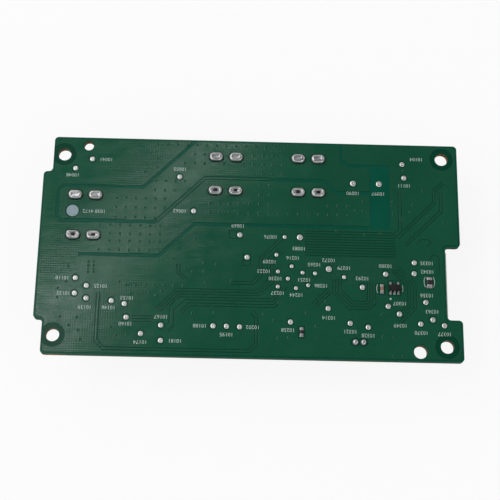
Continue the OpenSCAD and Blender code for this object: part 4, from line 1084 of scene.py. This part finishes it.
def backdrop():
    """A white floor that turns up into a round wall, and keeps the shadow."""
    made = bpy.data.materials.new("backdrop_paper")
    made.use_nodes = True
    tree = made.node_tree
    tree.nodes.clear()
    paper = add(tree, "ShaderNodeBsdfDiffuse", {"Color": "EDEDED"})
    white = add(tree, "ShaderNodeEmission", {"Color": "FFFFFF", "Strength": 1.0})
    path = add(tree, "ShaderNodeLightPath")
    seen = path.outputs["Is Camera Ray"]
    for ray in ("Is Glossy Ray", "Is Transmission Ray"):
        either = {0: seen, 1: path.outputs[ray]}
        seen = add(tree, "ShaderNodeMath", either, operation="MAXIMUM").outputs["Value"]
    share = add(tree, "ShaderNodeMath", {0: seen, 1: BACKDROP_WHITE}, operation="MULTIPLY")
    layers = {0: share.outputs["Value"], 1: paper.outputs["BSDF"], 2: white.outputs["Emission"]}
    mixed = add(tree, "ShaderNodeMixShader", layers)
    add(tree, "ShaderNodeOutputMaterial", {"Surface": mixed.outputs["Shader"]})

    mesh = bmesh.new()
    bmesh.ops.create_circle(mesh, cap_ends=True, segments=96, radius=STAGE_R)
    rim = mesh.edges[:]
    # Rings of the turn: radius and height, and last the top of the wall
    turns = [math.pi / 2 * (i + 1) / TURN_STEPS for i in range(TURN_STEPS)]
    rings = [(STAGE_R + TURN_R * math.sin(t), TURN_R * (1 - math.cos(t))) for t in turns]
    rings.append((STAGE_R + TURN_R, WALL_H))
    for radius, height in rings:
        out = bmesh.ops.extrude_edge_only(mesh, edges=rim)["geom"]
        rim = [g for g in out if isinstance(g, bmesh.types.BMEdge)]
        for v in out:
            if isinstance(v, bmesh.types.BMVert):
                v.co = Vector((*(v.co.xy.normalized() * radius), height))
    data = bpy.data.meshes.new("floor")
    mesh.to_mesh(data)
    mesh.free()
    data.shade_smooth()
    data.materials.append(made)
    floor = bpy.data.objects.new("floor", data)
    bpy.context.scene.collection.objects.link(floor)


def lamp(name, place, power, size, length=None, turn=0.0):
    """A soft lamp that faces the board: round, or a strip with its length along its own Y and
    turned by an angle in degrees."""
    data = bpy.data.lights.new(name, "AREA")
    data.shape = "RECTANGLE" if length else "DISK"
    data.size = size
    data.size_y = length or size
    data.energy = power
    made = bpy.data.objects.new(name, data)
    made.location = place
    made.rotation_mode = "QUATERNION"
    aim = (-Vector(place)).to_track_quat("-Z", "Y")
    roll = Matrix.Rotation(math.radians(turn), 3, "Z").to_quaternion()
    made.rotation_quaternion = aim @ roll
    bpy.context.scene.collection.objects.link(made)


def room():
    """The light of the room: bright round the walls and dim overhead."""
    world = bpy.data.worlds.new("room")
    world.use_nodes = True
    tree = world.node_tree
    tree.nodes.clear()
    direction = add(tree, "ShaderNodeTexCoord").outputs["Generated"]
    up = add(tree, "ShaderNodeSeparateXYZ", {"Vector": direction}).outputs["Z"]
    fade = {"Value": up, "From Min": FADE_FROM, "From Max": FADE_TO}
    fade.update({"To Min": ROOM_WALLS, "To Max": ROOM_ABOVE})
    level = add(tree, "ShaderNodeMapRange", fade).outputs["Result"]
    glow = add(tree, "ShaderNodeBackground", {"Color": "FFFFFF", "Strength": level})
    add(tree, "ShaderNodeOutputWorld", {"Surface": glow.outputs["Background"]})
    bpy.context.scene.world = world


def camera():
    """A long lens that looks down on the solder side, from a little in front of it."""
    data = bpy.data.cameras.new("camera")
    data.sensor_width = 36
    data.lens = CAMERA_LENS
    data.clip_start = 0.01
    made = bpy.data.objects.new("camera", data)
    place = Vector(CAMERA_AT) * MM
    made.location = place
    aim = (Vector(CAMERA_AIM) * MM - place).to_track_quat("-Z", "Y")
    roll = Matrix.Rotation(math.radians(CAMERA_ROLL), 3, "Z").to_quaternion()
    made.rotation_mode = "QUATERNION"
    made.rotation_quaternion = aim @ roll
    bpy.context.scene.collection.objects.link(made)
    bpy.context.scene.camera = made


backdrop()
lamp("window", (-0.7, 0.15, 0.85), power=9.4, size=1.8, length=0.8)
lamp("fill", (0.6, -0.6, 0.8), power=2.2, size=1.0)
# The mask mirrors these two as a streak across the board's left half
lamp("tube", (-0.12, 0.335, 1.0), power=0.17, size=0.03, length=0.42, turn=-59)
lamp("glow", (-0.21, 0.22, 1.0), power=0.05, size=0.12)
room()
camera()
bpy.context.scene.view_settings.view_transform = "Standard"
